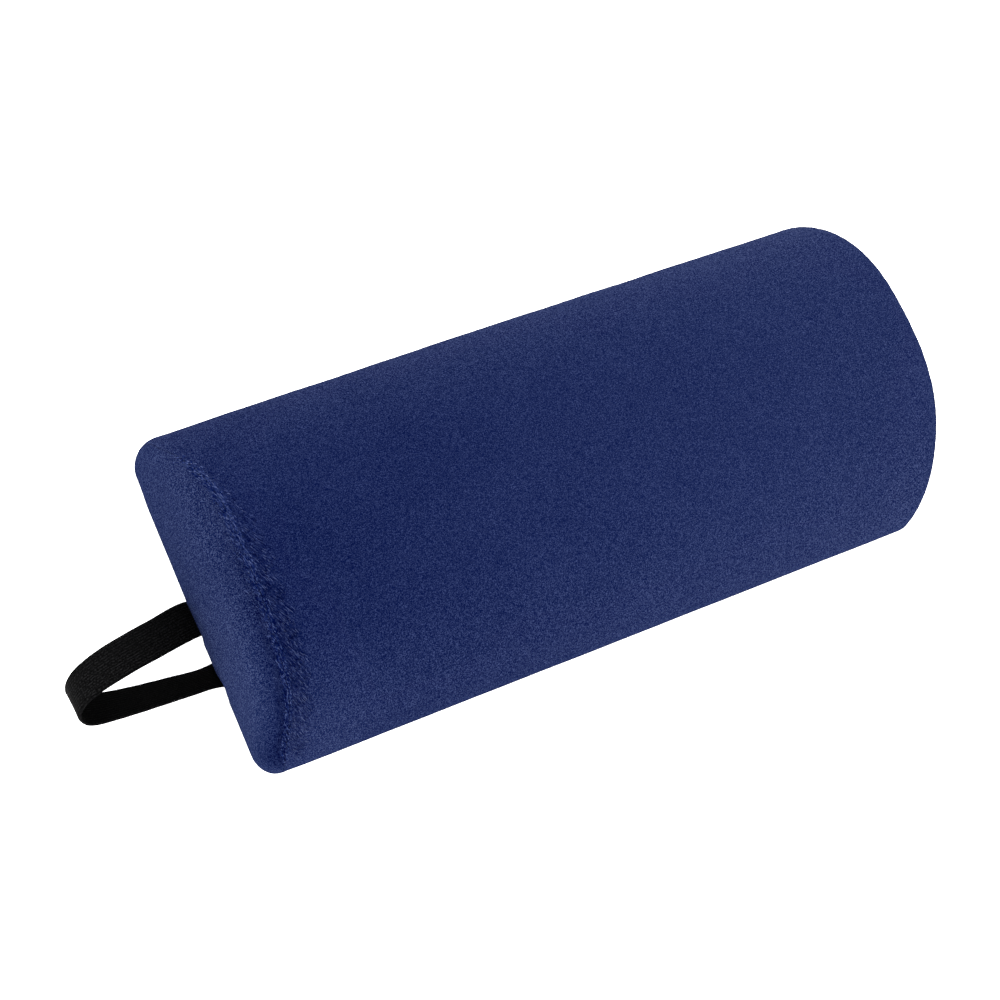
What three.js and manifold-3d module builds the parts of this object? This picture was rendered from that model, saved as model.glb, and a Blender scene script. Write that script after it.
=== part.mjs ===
// Half-round lumbar roll: a filled cushion with a flat back, a domed crown and two sewn-on end
// panels, and an elastic strap that loops out past its left end and runs back under its flat back.
//
// Millimetres, +Z up. The roll lies on its flat back (z = 0) with its long axis along X.
// The origin is the middle of the flat back.

import * as THREE from 'three';
import { mergeVertices } from 'three/addons/utils/BufferGeometryUtils.js';
import Module from 'manifold-3d';

// Driving sizes of the filled roll
const ROLL_LENGTH = 305;
const ROLL_WIDTH = 141;
const ROLL_HEIGHT = 84;
const BASE_CORNER_RADIUS = 10;
const SHOULDER_DEPTH = 8;
const CROWN_POWER_ACROSS = 2.58;
const CROWN_POWER_UP = 1.54;
const MIDDLE_SWELL = 0.005;

// End panels and the seams that join them to the wrap
const END_FULLNESS = 1.5;
const PIECE_GAP = 0.3;
const PANEL_THICKNESS = 2;
const SEAM_VALLEY_DEPTH = 1.3;
const SEAM_VALLEY_REACH = 4.5;
const SEAM_RIDGE_HEIGHT = 1.0;
const SEAM_RIDGE_REACH = 1.2;

// The left seam lies this far from the end plane over the crown, and nearer to it at the base corners
const SEAM_FROM_END = 11.8;
const SEAM_NEARER_HIGH = 8;
const SEAM_NEARER_LOW = 3.2;
// Where it runs nearer: ways over the crown from its +Y foot, and distances across the flat back
const HIGH_REACH = [45, 100];
const LOW_REACH = [172, 210];
const BACK_REACH = [12, 48];
// Where the seam's valley and ridge fade in: ways from either foot of the crown
const DIP_REACH = [8, 50];

// The right seam lies on the end face, at this share of the face's outline
const FACE_SEAM_SHARE = 0.93;
const FACE_SEAM_DEPTH = 0.6;

// Elastic strap
const STRAP_WIDTH = 16;
const STRAP_THICKNESS = 1.5;
const TROUGH_SIDE_ROOM = 1.2;
const TROUGH_FLOOR = -3;
const TROUGH_OVERRUN = 5;

// Steps round one section and along the strap
const CROWN_STEPS = 44;
const CORNER_STEPS = 5;
const BACK_STEPS = 6;
const STRAP_STEPS = 6;

// How far the end face's rim is turned round the shoulder, in degrees
const RIM_TURN = 85;
// Rows of the end face, as shares of its outline, from its middle outwards
const FACE_SHARES = [0.2, 0.45, 0.7, 0.88];
// Rows beside the right seam: on the panel, and on the wrap
const FACE_PANEL_ROWS = [0.905];
const FACE_WRAP_ROWS = [0.945, 0.96, 0.98];
// Rows between the rim and the left seam, as shares of the way
const PANEL_ROWS = [0, 0.2, 0.38, 0.54, 0.68, 0.79, 0.87, 0.93, 0.97];
const HIDDEN_ROWS = [0, 0.2, 0.4, 0.6, 0.8];
// Rows from the left seam to the middle, as ways from the seam
const WRAP_ROWS = [0.7, 1.5, 2.9, 5.3, 9.3, 18, 32, 50, 95];
// Rows from the middle to the right shoulder, as ways from it, and round it in degrees
const RIGHT_ROWS = [95, 50, 22, 8, 2, 0];
const SHOULDER_TURNS = [16, 32, 48, 64, 76, RIM_TURN];
// Over these ways from the left seam, the rows change from following it to lying square
const SQUARE_REACH = [3, 45];

// The strap's stations, in sewing order. out: beyond the left end (negative is under the roll),
// across: from the roll's middle line, up: above the surface, roll: turn about its own length.
const STRAP_STATIONS = [
  { out: -12, across: -1, up: 0.8, roll: 0 },
  { out: -5, across: -2, up: 1, roll: 0 },
  { out: 0, across: -0.6, up: 8, roll: 11 },
  { out: 18.5, across: -7, up: 21.5, roll: 25 },
  { out: 38, across: -12, up: 33, roll: 20.5 },
  { out: 57, across: -17, up: 30, roll: 24 },
  { out: 58, across: -21.5, up: 14.6, roll: -19 },
  { out: 51, across: -22.7, up: 9, roll: -35.5 },
  { out: 30, across: -25, up: 12, roll: -36 },
  { out: 12, across: -26.4, up: 12, roll: -47 },
  { out: 1.5, across: -26, up: 6.3, roll: -41 },
  { out: -6, across: -27.5, up: 1.2, roll: 0 },
  { out: -30, across: -26, up: 0.8, roll: 0 },
  { out: -90, across: -23, up: 0.8, roll: 0 },
  { out: -150, across: -16, up: 0.8, roll: 0 },
  { out: -210, across: -8, up: 0.8, roll: 0 },
  { out: -262, across: -2, up: 0.8, roll: 0 },
  { out: -292, across: -1, up: 0.8, roll: 0 },
];

// Finishes
const NAVY_VELOUR = { color: 0x222e5e, roughness: 0.95, metalness: 0 };
const NAVY_VELOUR_END = { color: 0x28345f, roughness: 0.95, metalness: 0 };
const BLACK_ELASTIC = { color: 0x101012, roughness: 0.8, metalness: 0 };

const wasm = await Module();
wasm.setup();

const halfCore = ROLL_WIDTH / 2 - BASE_CORNER_RADIUS;
const coreRise = ROLL_HEIGHT - 2 * BASE_CORNER_RADIUS;
const leftEnd = -ROLL_LENGTH / 2;
const shoulderRound = (SHOULDER_DEPTH + BASE_CORNER_RADIUS) / 2;
const rim = -shoulderRound * THREE.MathUtils.degToRad(RIM_TURN);
const faceGapShare = PIECE_GAP / ROLL_HEIGHT;
const columns = withSeam(sectionColumns());

/** A point of the domed core line and its outward direction; turn runs from 0 to PI. */
function crownPoint(turn) {
  const tiny = 1e-6;
  const c = Math.cos(turn);
  const s = Math.sin(turn);
  const cSize = Math.max(Math.abs(c), tiny);
  const sSize = Math.max(s, tiny);
  const across = Math.sign(c) * halfCore * Math.abs(c) ** (2 / CROWN_POWER_ACROSS);
  const up = coreRise * Math.max(s, 0) ** (2 / CROWN_POWER_UP);
  const acrossRate = halfCore * (2 / CROWN_POWER_ACROSS) * cSize ** (2 / CROWN_POWER_ACROSS - 1) * sSize;
  const upRate = coreRise * (2 / CROWN_POWER_UP) * sSize ** (2 / CROWN_POWER_UP - 1) * c;
  const outward = new THREE.Vector2(upRate, acrossRate).normalize();
  return { across, up: up + BASE_CORNER_RADIUS, outward };
}

/** The columns of a section: core point, outward direction and how full a seam's dip is there. */
function sectionColumns() {
  const columns = [];
  const addCorner = (across, angle) => columns.push({
    across, up: BASE_CORNER_RADIUS, outAcross: Math.cos(angle), outUp: Math.sin(angle), crown: 0,
  });
  for (let i = 0; i <= CROWN_STEPS; i += 1) {
    const turn = (Math.PI * i) / CROWN_STEPS;
    const { across, up, outward } = crownPoint(turn);
    const crown = Math.sqrt(Math.max(Math.sin(turn), 0));
    columns.push({ across, up, outAcross: outward.x, outUp: outward.y, crown });
  }
  for (let i = 1; i <= CORNER_STEPS; i += 1) {
    addCorner(-halfCore, Math.PI * (1 + i / CORNER_STEPS / 2));
  }
  for (let i = 1; i < BACK_STEPS; i += 1) {
    addCorner(halfCore * ((2 * i) / BACK_STEPS - 1), Math.PI * 1.5);
  }
  for (let i = 0; i < CORNER_STEPS; i += 1) {
    addCorner(halfCore, Math.PI * (1.5 + i / CORNER_STEPS / 2));
  }
  return columns;
}

/** Adds to each column where the left seam crosses it, as a way along the side profile. */
function withSeam(columns) {
  const skinOf = (c) => new THREE.Vector2(
    c.across + c.outAcross * BASE_CORNER_RADIUS,
    c.up + c.outUp * BASE_CORNER_RADIUS,
  );
  const ways = [0];
  for (let i = 1; i <= CROWN_STEPS; i += 1) {
    ways.push(ways[i - 1] + skinOf(columns[i]).distanceTo(skinOf(columns[i - 1])));
  }
  const crownWay = ways.at(-1);
  const { smoothstep } = THREE.MathUtils;
  return columns.map((column, i) => {
    const onCrown = i <= CROWN_STEPS;
    const way = ways[i];
    const high = onCrown ? 1 - smoothstep(way, ...HIGH_REACH) : Number(column.across > 0);
    const low = onCrown ? smoothstep(way, ...LOW_REACH) : Number(column.across < 0);
    const side = onCrown ? 1 : smoothstep(Math.abs(column.across), ...BACK_REACH);
    const fromEnd = SEAM_FROM_END - (SEAM_NEARER_HIGH * high + SEAM_NEARER_LOW * low) * side;
    const fullness = onCrown ? column.crown * smoothstep(Math.min(way, crownWay - way), ...DIP_REACH) : 0;
    return { ...column, seam: profileAt(fromEnd), fullness };
  });
}

/**
 * A distance from the end plane as a way along the side profile: 0 where the shoulder starts,
 * growing towards the roll's middle, and less than 0 round the shoulder.
 */
function profileAt(fromEnd) {
  if (fromEnd >= SHOULDER_DEPTH) return fromEnd - SHOULDER_DEPTH;
  return -shoulderRound * Math.asin(1 - fromEnd / SHOULDER_DEPTH);
}

/** How far the skin is drawn in at a way from a seam: a valley with a ridge inside it. */
function seamDip(away) {
  const valley = SEAM_VALLEY_DEPTH * Math.exp(-((away / SEAM_VALLEY_REACH) ** 2));
  const ridge = SEAM_RIDGE_HEIGHT * Math.exp(-((away / SEAM_RIDGE_REACH) ** 2));
  return valley - ridge;
}

/**
 * One closed ring of the left half. wayOf gives each column's way along the side profile. depth is
 * how far under the outer skin it lies, share shrinks it about its middle, and sunk moves it in
 * from the end face. The left seam draws the outer skin in where hasSeam is true.
 */
function ring(wayOf, { depth = 0, share = 1, sunk = 0, hasSeam = false } = {}) {
  const middle = ROLL_HEIGHT / 2;
  return columns.map((column) => {
    const way = wayOf(column);
    const angle = THREE.MathUtils.clamp(-way / shoulderRound, 0, Math.PI / 2);
    const dip = hasSeam ? seamDip(way - column.seam) * column.fullness * Math.cos(angle) : 0;
    const fromEnd = depth + (SHOULDER_DEPTH - depth) * (1 - Math.sin(angle)) + Math.max(way, 0)
      - END_FULLNESS * (1 - share ** 2) + sunk;
    const reach = (BASE_CORNER_RADIUS - depth - dip) * Math.cos(angle);
    const x = leftEnd + fromEnd;
    const swell = 1 + MIDDLE_SWELL * (1 - ((2 * x) / ROLL_LENGTH) ** 2);
    const across = (column.across + column.outAcross * reach) * share;
    const up = middle + (column.up + column.outUp * reach - middle) * share;
    return new THREE.Vector3(x, across * swell, up * swell);
  });
}

/** A ring of the end face, at a share of its outline. */
function faceRing(share, depth = 0, sunk = 0) {
  return ring(() => rim, { depth, share, sunk });
}

/** A ring of the left end between the rim and the seam, at a share of the way. */
function rimRing(share, depth = 0) {
  return ring((column) => rim + (column.seam - rim) * share, { depth, hasSeam: depth === 0 });
}

/** A ring at a distance from the left seam, which lies square to the roll far from it. */
function seamRing(away, depth = 0) {
  const square = THREE.MathUtils.smoothstep(away, ...SQUARE_REACH);
  return ring(
    (column) => away + THREE.MathUtils.lerp(column.seam, profileAt(SEAM_FROM_END), square),
    { depth, hasSeam: depth === 0 },
  );
}

/** A ring of the end face beside the right seam, drawn in by it. */
function faceSeamRing(share) {
  const away = (share - FACE_SEAM_SHARE) * (ROLL_HEIGHT / 2);
  return faceRing(share, 0, seamDip(away) * FACE_SEAM_DEPTH);
}

/** The middle point of an end face at a depth under the skin. */
function faceMiddle(depth) {
  return new THREE.Vector3(faceRing(0, depth)[0].x, 0, ROLL_HEIGHT / 2);
}

/** Points of the left half moved to the right half. */
function toRight(points) {
  return points.map((p) => new THREE.Vector3(-p.x, p.y, p.z));
}

/** A closed mesh of rings in order, closed by a fan to a point at each end. */
function loft(first, rings, last) {
  const positions = [];
  const index = [];
  const count = rings[0].length;
  rings.flat().forEach((p) => positions.push(p.x, p.y, p.z));
  for (let r = 0; r + 1 < rings.length; r += 1) {
    for (let i = 0; i < count; i += 1) {
      const a = r * count + i;
      const b = r * count + ((i + 1) % count);
      index.push(a, b, a + count, b, b + count, a + count);
    }
  }
  const firstIndex = rings.length * count;
  const lastIndex = firstIndex + 1;
  const lastRing = (rings.length - 1) * count;
  positions.push(first.x, first.y, first.z, last.x, last.y, last.z);
  for (let i = 0; i < count; i += 1) {
    const next = (i + 1) % count;
    index.push(firstIndex, next, i, lastIndex, lastRing + i, lastRing + next);
  }
  const geometry = new THREE.BufferGeometry();
  geometry.setAttribute('position', new THREE.Float32BufferAttribute(positions, 3));
  geometry.setIndex(index);
  return geometry;
}

/** A closed mesh as a solid that can be cut. */
function toSolid(geometry) {
  const merged = mergeVertices(geometry);
  return new wasm.Manifold(new wasm.Mesh({
    numProp: 3,
    vertProperties: new Float32Array(merged.getAttribute('position').array),
    triVerts: new Uint32Array(merged.getIndex().array),
  }));
}

/** A mesh with the given closed meshes cut out of it. */
function cutBy(geometry, cutters) {
  const solid = cutters.reduce((left, cutter) => left.subtract(toSolid(cutter)), toSolid(geometry));
  const { vertProperties, triVerts } = solid.getMesh();
  const result = new THREE.BufferGeometry();
  result.setAttribute('position', new THREE.Float32BufferAttribute(vertProperties, 3));
  result.setIndex(Array.from(triVerts));
  return result;
}

/** The wrap filled to its full form; its ends step down under the end panels. */
function wrapGeometry() {
  const underPanel = PANEL_THICKNESS + PIECE_GAP;
  const left = [
    ...FACE_SHARES.map((share) => faceRing(share, underPanel)),
    ...HIDDEN_ROWS.map((share) => rimRing(share, underPanel)),
    seamRing(PIECE_GAP / 2, underPanel),
    seamRing(PIECE_GAP / 2),
    ...WRAP_ROWS.map((away) => seamRing(away)),
  ];
  const edge = FACE_SEAM_SHARE + faceGapShare;
  const right = [
    ...RIGHT_ROWS.map((way) => ring(() => way)),
    ...SHOULDER_TURNS.map((turn) => ring(() => -shoulderRound * THREE.MathUtils.degToRad(turn))),
    ...FACE_WRAP_ROWS.toReversed().map(faceSeamRing),
    faceSeamRing(edge),
    faceRing(edge, underPanel),
    ...FACE_SHARES.toReversed().map((share) => faceRing(share, underPanel)),
  ].map(toRight);
  return loft(faceMiddle(underPanel), [...left, ...right], toRight([faceMiddle(underPanel)])[0]);
}

/** The left end panel: a cap of cloth folded over the shoulder to the seam. */
function leftPanelGeometry() {
  const outside = [
    ...FACE_SHARES.map((share) => faceRing(share)),
    ...PANEL_ROWS.map((share) => rimRing(share)),
    seamRing(-PIECE_GAP / 2),
  ];
  const inside = [
    ...FACE_SHARES.map((share) => faceRing(share, PANEL_THICKNESS)),
    ...HIDDEN_ROWS.map((share) => rimRing(share, PANEL_THICKNESS)),
    seamRing(-PIECE_GAP / 2, PANEL_THICKNESS),
  ];
  return loft(faceMiddle(0), [...outside, ...inside.reverse()], faceMiddle(PANEL_THICKNESS));
}

/** The right end panel: a flat D of cloth set into the end face. */
function rightPanelGeometry() {
  const edge = FACE_SEAM_SHARE - faceGapShare;
  const outside = [...FACE_SHARES, ...FACE_PANEL_ROWS].map(faceSeamRing);
  const inside = FACE_SHARES.map((share) => faceRing(share, PANEL_THICKNESS));
  const rings = [
    ...inside,
    faceRing(edge, PANEL_THICKNESS),
    faceSeamRing(edge),
    ...outside.reverse(),
  ].map(toRight);
  return loft(toRight([faceMiddle(PANEL_THICKNESS)])[0], rings, toRight([faceMiddle(0)])[0]);
}

/** The strap's middle line and its turn, as one smooth curve drawn along the stations. */
class StrapCurve extends THREE.Curve {
  constructor(stations) {
    super();
    const rows = stations.map((s) => new THREE.Vector4(leftEnd - s.out, s.across, s.up, s.roll));
    const before = rows[0].clone().multiplyScalar(2).sub(rows[1]);
    const after = rows.at(-1).clone().multiplyScalar(2).sub(rows.at(-2));
    this.rows = [before, ...rows, after];
    this.spans = stations.length - 1;
  }

  getPoint(t, target = new THREE.Vector4()) {
    const span = Math.min(Math.floor(t * this.spans), this.spans - 1);
    const u = t * this.spans - span;
    const weights = [
      (1 - u) ** 3,
      3 * u ** 3 - 6 * u ** 2 + 4,
      -3 * u ** 3 + 3 * u ** 2 + 3 * u + 1,
      u ** 3,
    ];
    target.set(0, 0, 0, 0);
    weights.forEach((weight, i) => target.addScaledVector(this.rows[span + i], weight / 6));
    return target;
  }
}

/** Places along the strap: its middle point, the way to its far edge and the way to its inner face. */
function strapFrames() {
  const curve = new StrapCurve(STRAP_STATIONS);
  const steps = curve.spans * STRAP_STEPS;
  const nudge = 1e-4;
  const frames = [];
  for (let i = 0; i <= steps; i += 1) {
    const t = i / steps;
    const here = curve.getPoint(t);
    const ahead = curve.getPoint(Math.min(t + nudge, 1));
    const behind = curve.getPoint(Math.max(t - nudge, 0));
    const along = new THREE.Vector3(ahead.x - behind.x, ahead.y - behind.y, ahead.z - behind.z).normalize();
    const across = new THREE.Vector3(0, 1, 0).projectOnPlane(along).normalize();
    across.applyAxisAngle(along, THREE.MathUtils.degToRad(here.w));
    const inward = along.clone().cross(across);
    frames.push({ middle: new THREE.Vector3(here.x, here.y, here.z), across, inward });
  }
  return frames;
}

/** The four corners of a section across the strap, grown by room at its sides and its faces. */
function strapSection(frame, sideRoom = 0, faceRoom = 0) {
  const halfWidth = STRAP_WIDTH / 2 + sideRoom;
  const halfThickness = STRAP_THICKNESS / 2 + faceRoom;
  return [[1, -1], [1, 1], [-1, 1], [-1, -1]].map(([side, face]) => {
    const corner = frame.middle.clone();
    corner.addScaledVector(frame.across, side * halfWidth);
    corner.addScaledVector(frame.inward, face * halfThickness);
    return { corner, isLow: face * frame.inward.z < 0 };
  });
}

/** A closed band through the given sections. */
function band(sections) {
  const middleOf = (ring) => ring.reduce((sum, p) => sum.add(p), new THREE.Vector3()).divideScalar(ring.length);
  return loft(middleOf(sections[0]), sections, middleOf(sections.at(-1)));
}

/** The room that the strap needs for a run of its places: all round it, and from there downwards. */
function troughBands(frames) {
  const sections = frames.map((frame) => strapSection(frame, TROUGH_SIDE_ROOM, PIECE_GAP));
  const round = sections.map((section) => section.map(({ corner }) => corner));
  const below = sections.map((section) => section.map(({ corner, isLow }) => (
    isLow ? new THREE.Vector3(corner.x, corner.y, TROUGH_FLOOR) : corner
  )));
  return [band(round), band(below)];
}

/** What the two troughs take out: from the sewn end to the loop, and from the loop to the far seam. */
function troughs(frames) {
  const tip = frames.reduce((best, frame, i) => (frame.middle.x < frames[best].middle.x ? i : best), 0);
  const nearRoll = (frame) => frame.middle.x > leftEnd - TROUGH_OVERRUN;
  const leaving = frames.filter((frame, i) => i < tip && nearRoll(frame));
  const returning = frames.filter((frame, i) => i > tip && nearRoll(frame));
  const pushedOn = (frame, other) => ({
    ...frame,
    middle: frame.middle.clone().lerp(other.middle, -PIECE_GAP / frame.middle.distanceTo(other.middle)),
  });
  leaving.unshift(pushedOn(leaving[0], leaving[1]));
  returning.push(pushedOn(returning.at(-1), returning.at(-2)));
  return [...troughBands(leaving), ...troughBands(returning)];
}

/** One named piece of the roll. */
function piece(name, geometry, finish) {
  geometry.computeVertexNormals();
  const mesh = new THREE.Mesh(geometry, new THREE.MeshStandardMaterial(finish));
  mesh.name = name;
  return mesh;
}

const frames = strapFrames();
const cutters = troughs(frames);

const lumbarRoll = new THREE.Group();
lumbarRoll.name = 'lumbar_roll';
lumbarRoll.add(
  piece('filled_wrap', cutBy(wrapGeometry(), cutters), NAVY_VELOUR),
  piece('end_panel_left', cutBy(leftPanelGeometry(), cutters), NAVY_VELOUR_END),
  piece('end_panel_right', cutBy(rightPanelGeometry(), []), NAVY_VELOUR_END),
  piece('elastic_strap', band(frames.map((frame) => strapSection(frame).map((s) => s.corner))), BLACK_ELASTIC),
);

export default lumbarRoll;
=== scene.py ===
"""Half-round lumbar roll in navy velour with a black elastic strap.

The filled wrap, its two sewn-on end panels, the pile that stands up along the seams, and the strap
that loops out past the left end are worked out as whole-array surfaces in metres, in the frame of
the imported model: +X along the roll away from the loop, +Y across it, +Z from its flat back up.
"""

import logging
import math
from dataclasses import dataclass, field, fields, replace
from enum import Enum
from typing import Iterable, Optional

import bpy
import numpy as np
from mathutils import Matrix, Vector

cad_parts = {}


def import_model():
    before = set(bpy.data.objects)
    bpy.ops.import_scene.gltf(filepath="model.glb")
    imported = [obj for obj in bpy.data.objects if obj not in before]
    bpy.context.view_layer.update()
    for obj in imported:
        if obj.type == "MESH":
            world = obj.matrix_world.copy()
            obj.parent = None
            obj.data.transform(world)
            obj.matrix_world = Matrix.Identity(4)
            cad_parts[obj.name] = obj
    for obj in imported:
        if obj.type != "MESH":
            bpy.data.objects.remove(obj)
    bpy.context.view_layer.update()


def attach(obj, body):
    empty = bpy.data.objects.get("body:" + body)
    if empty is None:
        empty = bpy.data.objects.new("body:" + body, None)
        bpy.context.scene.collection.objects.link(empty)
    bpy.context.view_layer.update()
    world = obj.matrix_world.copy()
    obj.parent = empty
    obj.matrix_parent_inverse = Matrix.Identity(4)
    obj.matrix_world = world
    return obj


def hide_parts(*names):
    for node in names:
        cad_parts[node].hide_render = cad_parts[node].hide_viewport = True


MM = 0.001
TINY = 1e-6
EYE_GAMMA = 2.2
EYE_STEP = 0.0023
PILE_MEAN = 0.47
DARKEST = 0.004

log = logging.getLogger("lumbar_roll")


class End(Enum):
    """The two ends of the roll, with the side of the middle that each is on."""

    LEFT = -1
    RIGHT = 1


# Small shapes and number helpers


def smooth_step(low: float, high: float, value: np.ndarray) -> np.ndarray:
    """Eases from 0 at low to 1 at high, as 3t^2 - 2t^3.

    Args:
        low: Where the rise starts.
        high: Where the rise ends.
        value: The numbers to ease.

    Returns:
        The eased numbers, from 0 to 1.
    """
    t = np.clip((value - low) / (high - low), 0.0, 1.0)
    return t * t * (3.0 - 2.0 * t)


def soft_waves(points: np.ndarray, shortest: float, longest: float, count: int, seed: int) -> np.ndarray:
    """Adds up sine waves of random direction, length and phase into one smooth uneven field.

    The field is the sum of sin(k . p + phase) over the waves, divided by the square root of half
    their number, so that its spread is about 1.

    Args:
        points: Places, as an array whose last axis holds the coordinates in metres.
        shortest: The shortest wavelength in metres.
        longest: The longest wavelength in metres.
        count: How many waves are added.
        seed: The seed of the draws.

    Returns:
        The field at each place.
    """
    draw = np.random.default_rng(seed)
    size = points.shape[-1]
    way = draw.normal(size=(count, size))
    way /= np.linalg.norm(way, axis=1, keepdims=True)
    wavelength = draw.uniform(shortest, longest, count)
    phase = draw.uniform(0.0, 2.0 * math.pi, count)
    total = np.zeros(points.shape[:-1])
    for k in range(count):
        total += np.sin(points @ (way[k] * (2.0 * math.pi / wavelength[k])) + phase[k])
    return total / math.sqrt(count / 2.0)


def unit(vectors: np.ndarray) -> np.ndarray:
    """Gives vectors along the last axis a length of 1."""
    return vectors / np.maximum(np.linalg.norm(vectors, axis=-1, keepdims=True), 1e-12)


@dataclass
class Surface:
    """A closed skin on a grid: rows along the piece and columns round it, closed at both poles.

    Fields:
        points: Row by column by coordinate, in metres.
        first: The pole before the first row.
        last: The pole after the last row.
        cloth: Row by column + 1 by two: the place on the flat cloth, in metres.
        values: Named numbers, row by column, which the finishes read.
        away: Row by column: the way from the seam, or nothing for a skin without one.
        shown: Row by one: 1 for the rows of the outer skin and 0 for those under it.
    """

    points: np.ndarray
    first: np.ndarray
    last: np.ndarray
    cloth: np.ndarray
    values: dict[str, np.ndarray]
    away: Optional[np.ndarray] = None
    shown: Optional[np.ndarray] = None

    def to_object(self, name: str) -> bpy.types.Object:
        """Puts the skin into a mesh object with faces pointing outwards.

        Args:
            name: The object's name.

        Returns:
            The new object, linked to the scene.
        """
        rows, columns = self.points.shape[:2]
        vertices = np.concatenate([self.points.reshape(-1, 3), self.first[None], self.last[None]])
        row, column = np.meshgrid(np.arange(rows - 1), np.arange(columns), indexing="ij")
        after = (column + 1) % columns
        here, below = row * columns, (row + 1) * columns
        quads = np.stack([here + column, here + after, below + after, below + column], -1).reshape(-1, 4)
        ring = np.arange(columns)
        following = (ring + 1) % columns
        foot = np.full(columns, rows * columns)
        top = (rows - 1) * columns
        fan_first = np.stack([foot, following, ring], -1)
        fan_last = np.stack([foot + 1, top + ring, top + following], -1)
        quad_cloth = np.stack([self.cloth[:-1, :-1], self.cloth[:-1, 1:],
                               self.cloth[1:, 1:], self.cloth[1:, :-1]], 2).reshape(-1, 2)
        first_cloth = np.stack([(self.cloth[0, :-1] + self.cloth[0, 1:]) / 2, self.cloth[0, 1:],
                                self.cloth[0, :-1]], 1).reshape(-1, 2)
        last_cloth = np.stack([(self.cloth[-1, :-1] + self.cloth[-1, 1:]) / 2, self.cloth[-1, :-1],
                               self.cloth[-1, 1:]], 1).reshape(-1, 2)
        loops = np.concatenate([quad_cloth, first_cloth, last_cloth])
        values = {label: np.concatenate([numbers.ravel(), [numbers[0].mean(), numbers[-1].mean()]])
                  for label, numbers in self.values.items()}
        return new_piece(name, vertices, [quads, fan_first, fan_last], loops, values)


def new_piece(
    name: str,
    vertices: np.ndarray,
    faces: list[np.ndarray],
    cloth: Optional[np.ndarray] = None,
    values: Optional[dict[str, np.ndarray]] = None,
) -> bpy.types.Object:
    """Makes a smooth-shaded mesh object at the origin, turned so that its faces point outwards.

    The way round is settled by the volume, the sum of a . (b x c) / 6 over the triangles, which is
    negative when the faces point inwards.

    Args:
        name: The object's name.
        vertices: Corner places in metres.
        faces: Arrays of corner numbers, one array for each number of corners.
        cloth: A place on the flat cloth for each face corner.
        values: Named numbers, one for each vertex.

    Returns:
        The new object, linked to the scene.
    """
    triangles = np.concatenate([f[:, [0, k, k + 1]] for f in faces for k in range(1, f.shape[1] - 1)])
    a, b, c = (vertices[triangles[:, k]] for k in range(3))
    volume = np.einsum("ij,ij->i", a, np.cross(b, c)).sum() / 6.0
    mesh = bpy.data.meshes.new(name)
    mesh.from_pydata(vertices.tolist(), [], [corner for f in faces for corner in f.tolist()])
    if cloth is not None:
        mesh.uv_layers.new(name="cloth").data.foreach_set("uv", cloth.astype(np.float32).ravel())
    for label, numbers in (values or {}).items():
        mesh.attributes.new(label, "FLOAT", "POINT").data.foreach_set("value", numbers.astype(np.float32))
    if volume < 0.0:
        mesh.flip_normals()
    mesh.shade_smooth()
    piece = bpy.data.objects.new(name, mesh)
    bpy.context.scene.collection.objects.link(piece)
    return piece


def outward(points: np.ndarray, form: "RollForm") -> np.ndarray:
    """Gives the unit outward direction at each point of one of the roll's grids.

    It is the cross product of the two ways along the grid, turned away from the roll's middle.

    Args:
        points: The grid.
        form: The roll, whose middle tells outwards from inwards.

    Returns:
        The directions, row by column by coordinate.
    """
    around = np.roll(points, -1, axis=1) - np.roll(points, 1, axis=1)
    normal = unit(np.cross(around, np.gradient(points, axis=0)))
    middle = np.array([0.0, 0.0, form.height * 0.45])
    weight = np.array([0.15, 0.7, 0.7])
    facing = np.einsum("ijk,ijk->ij", normal, (points - middle) * weight)
    return normal * np.where(facing < 0.0, -1.0, 1.0)[..., None]


# Finishes


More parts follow.
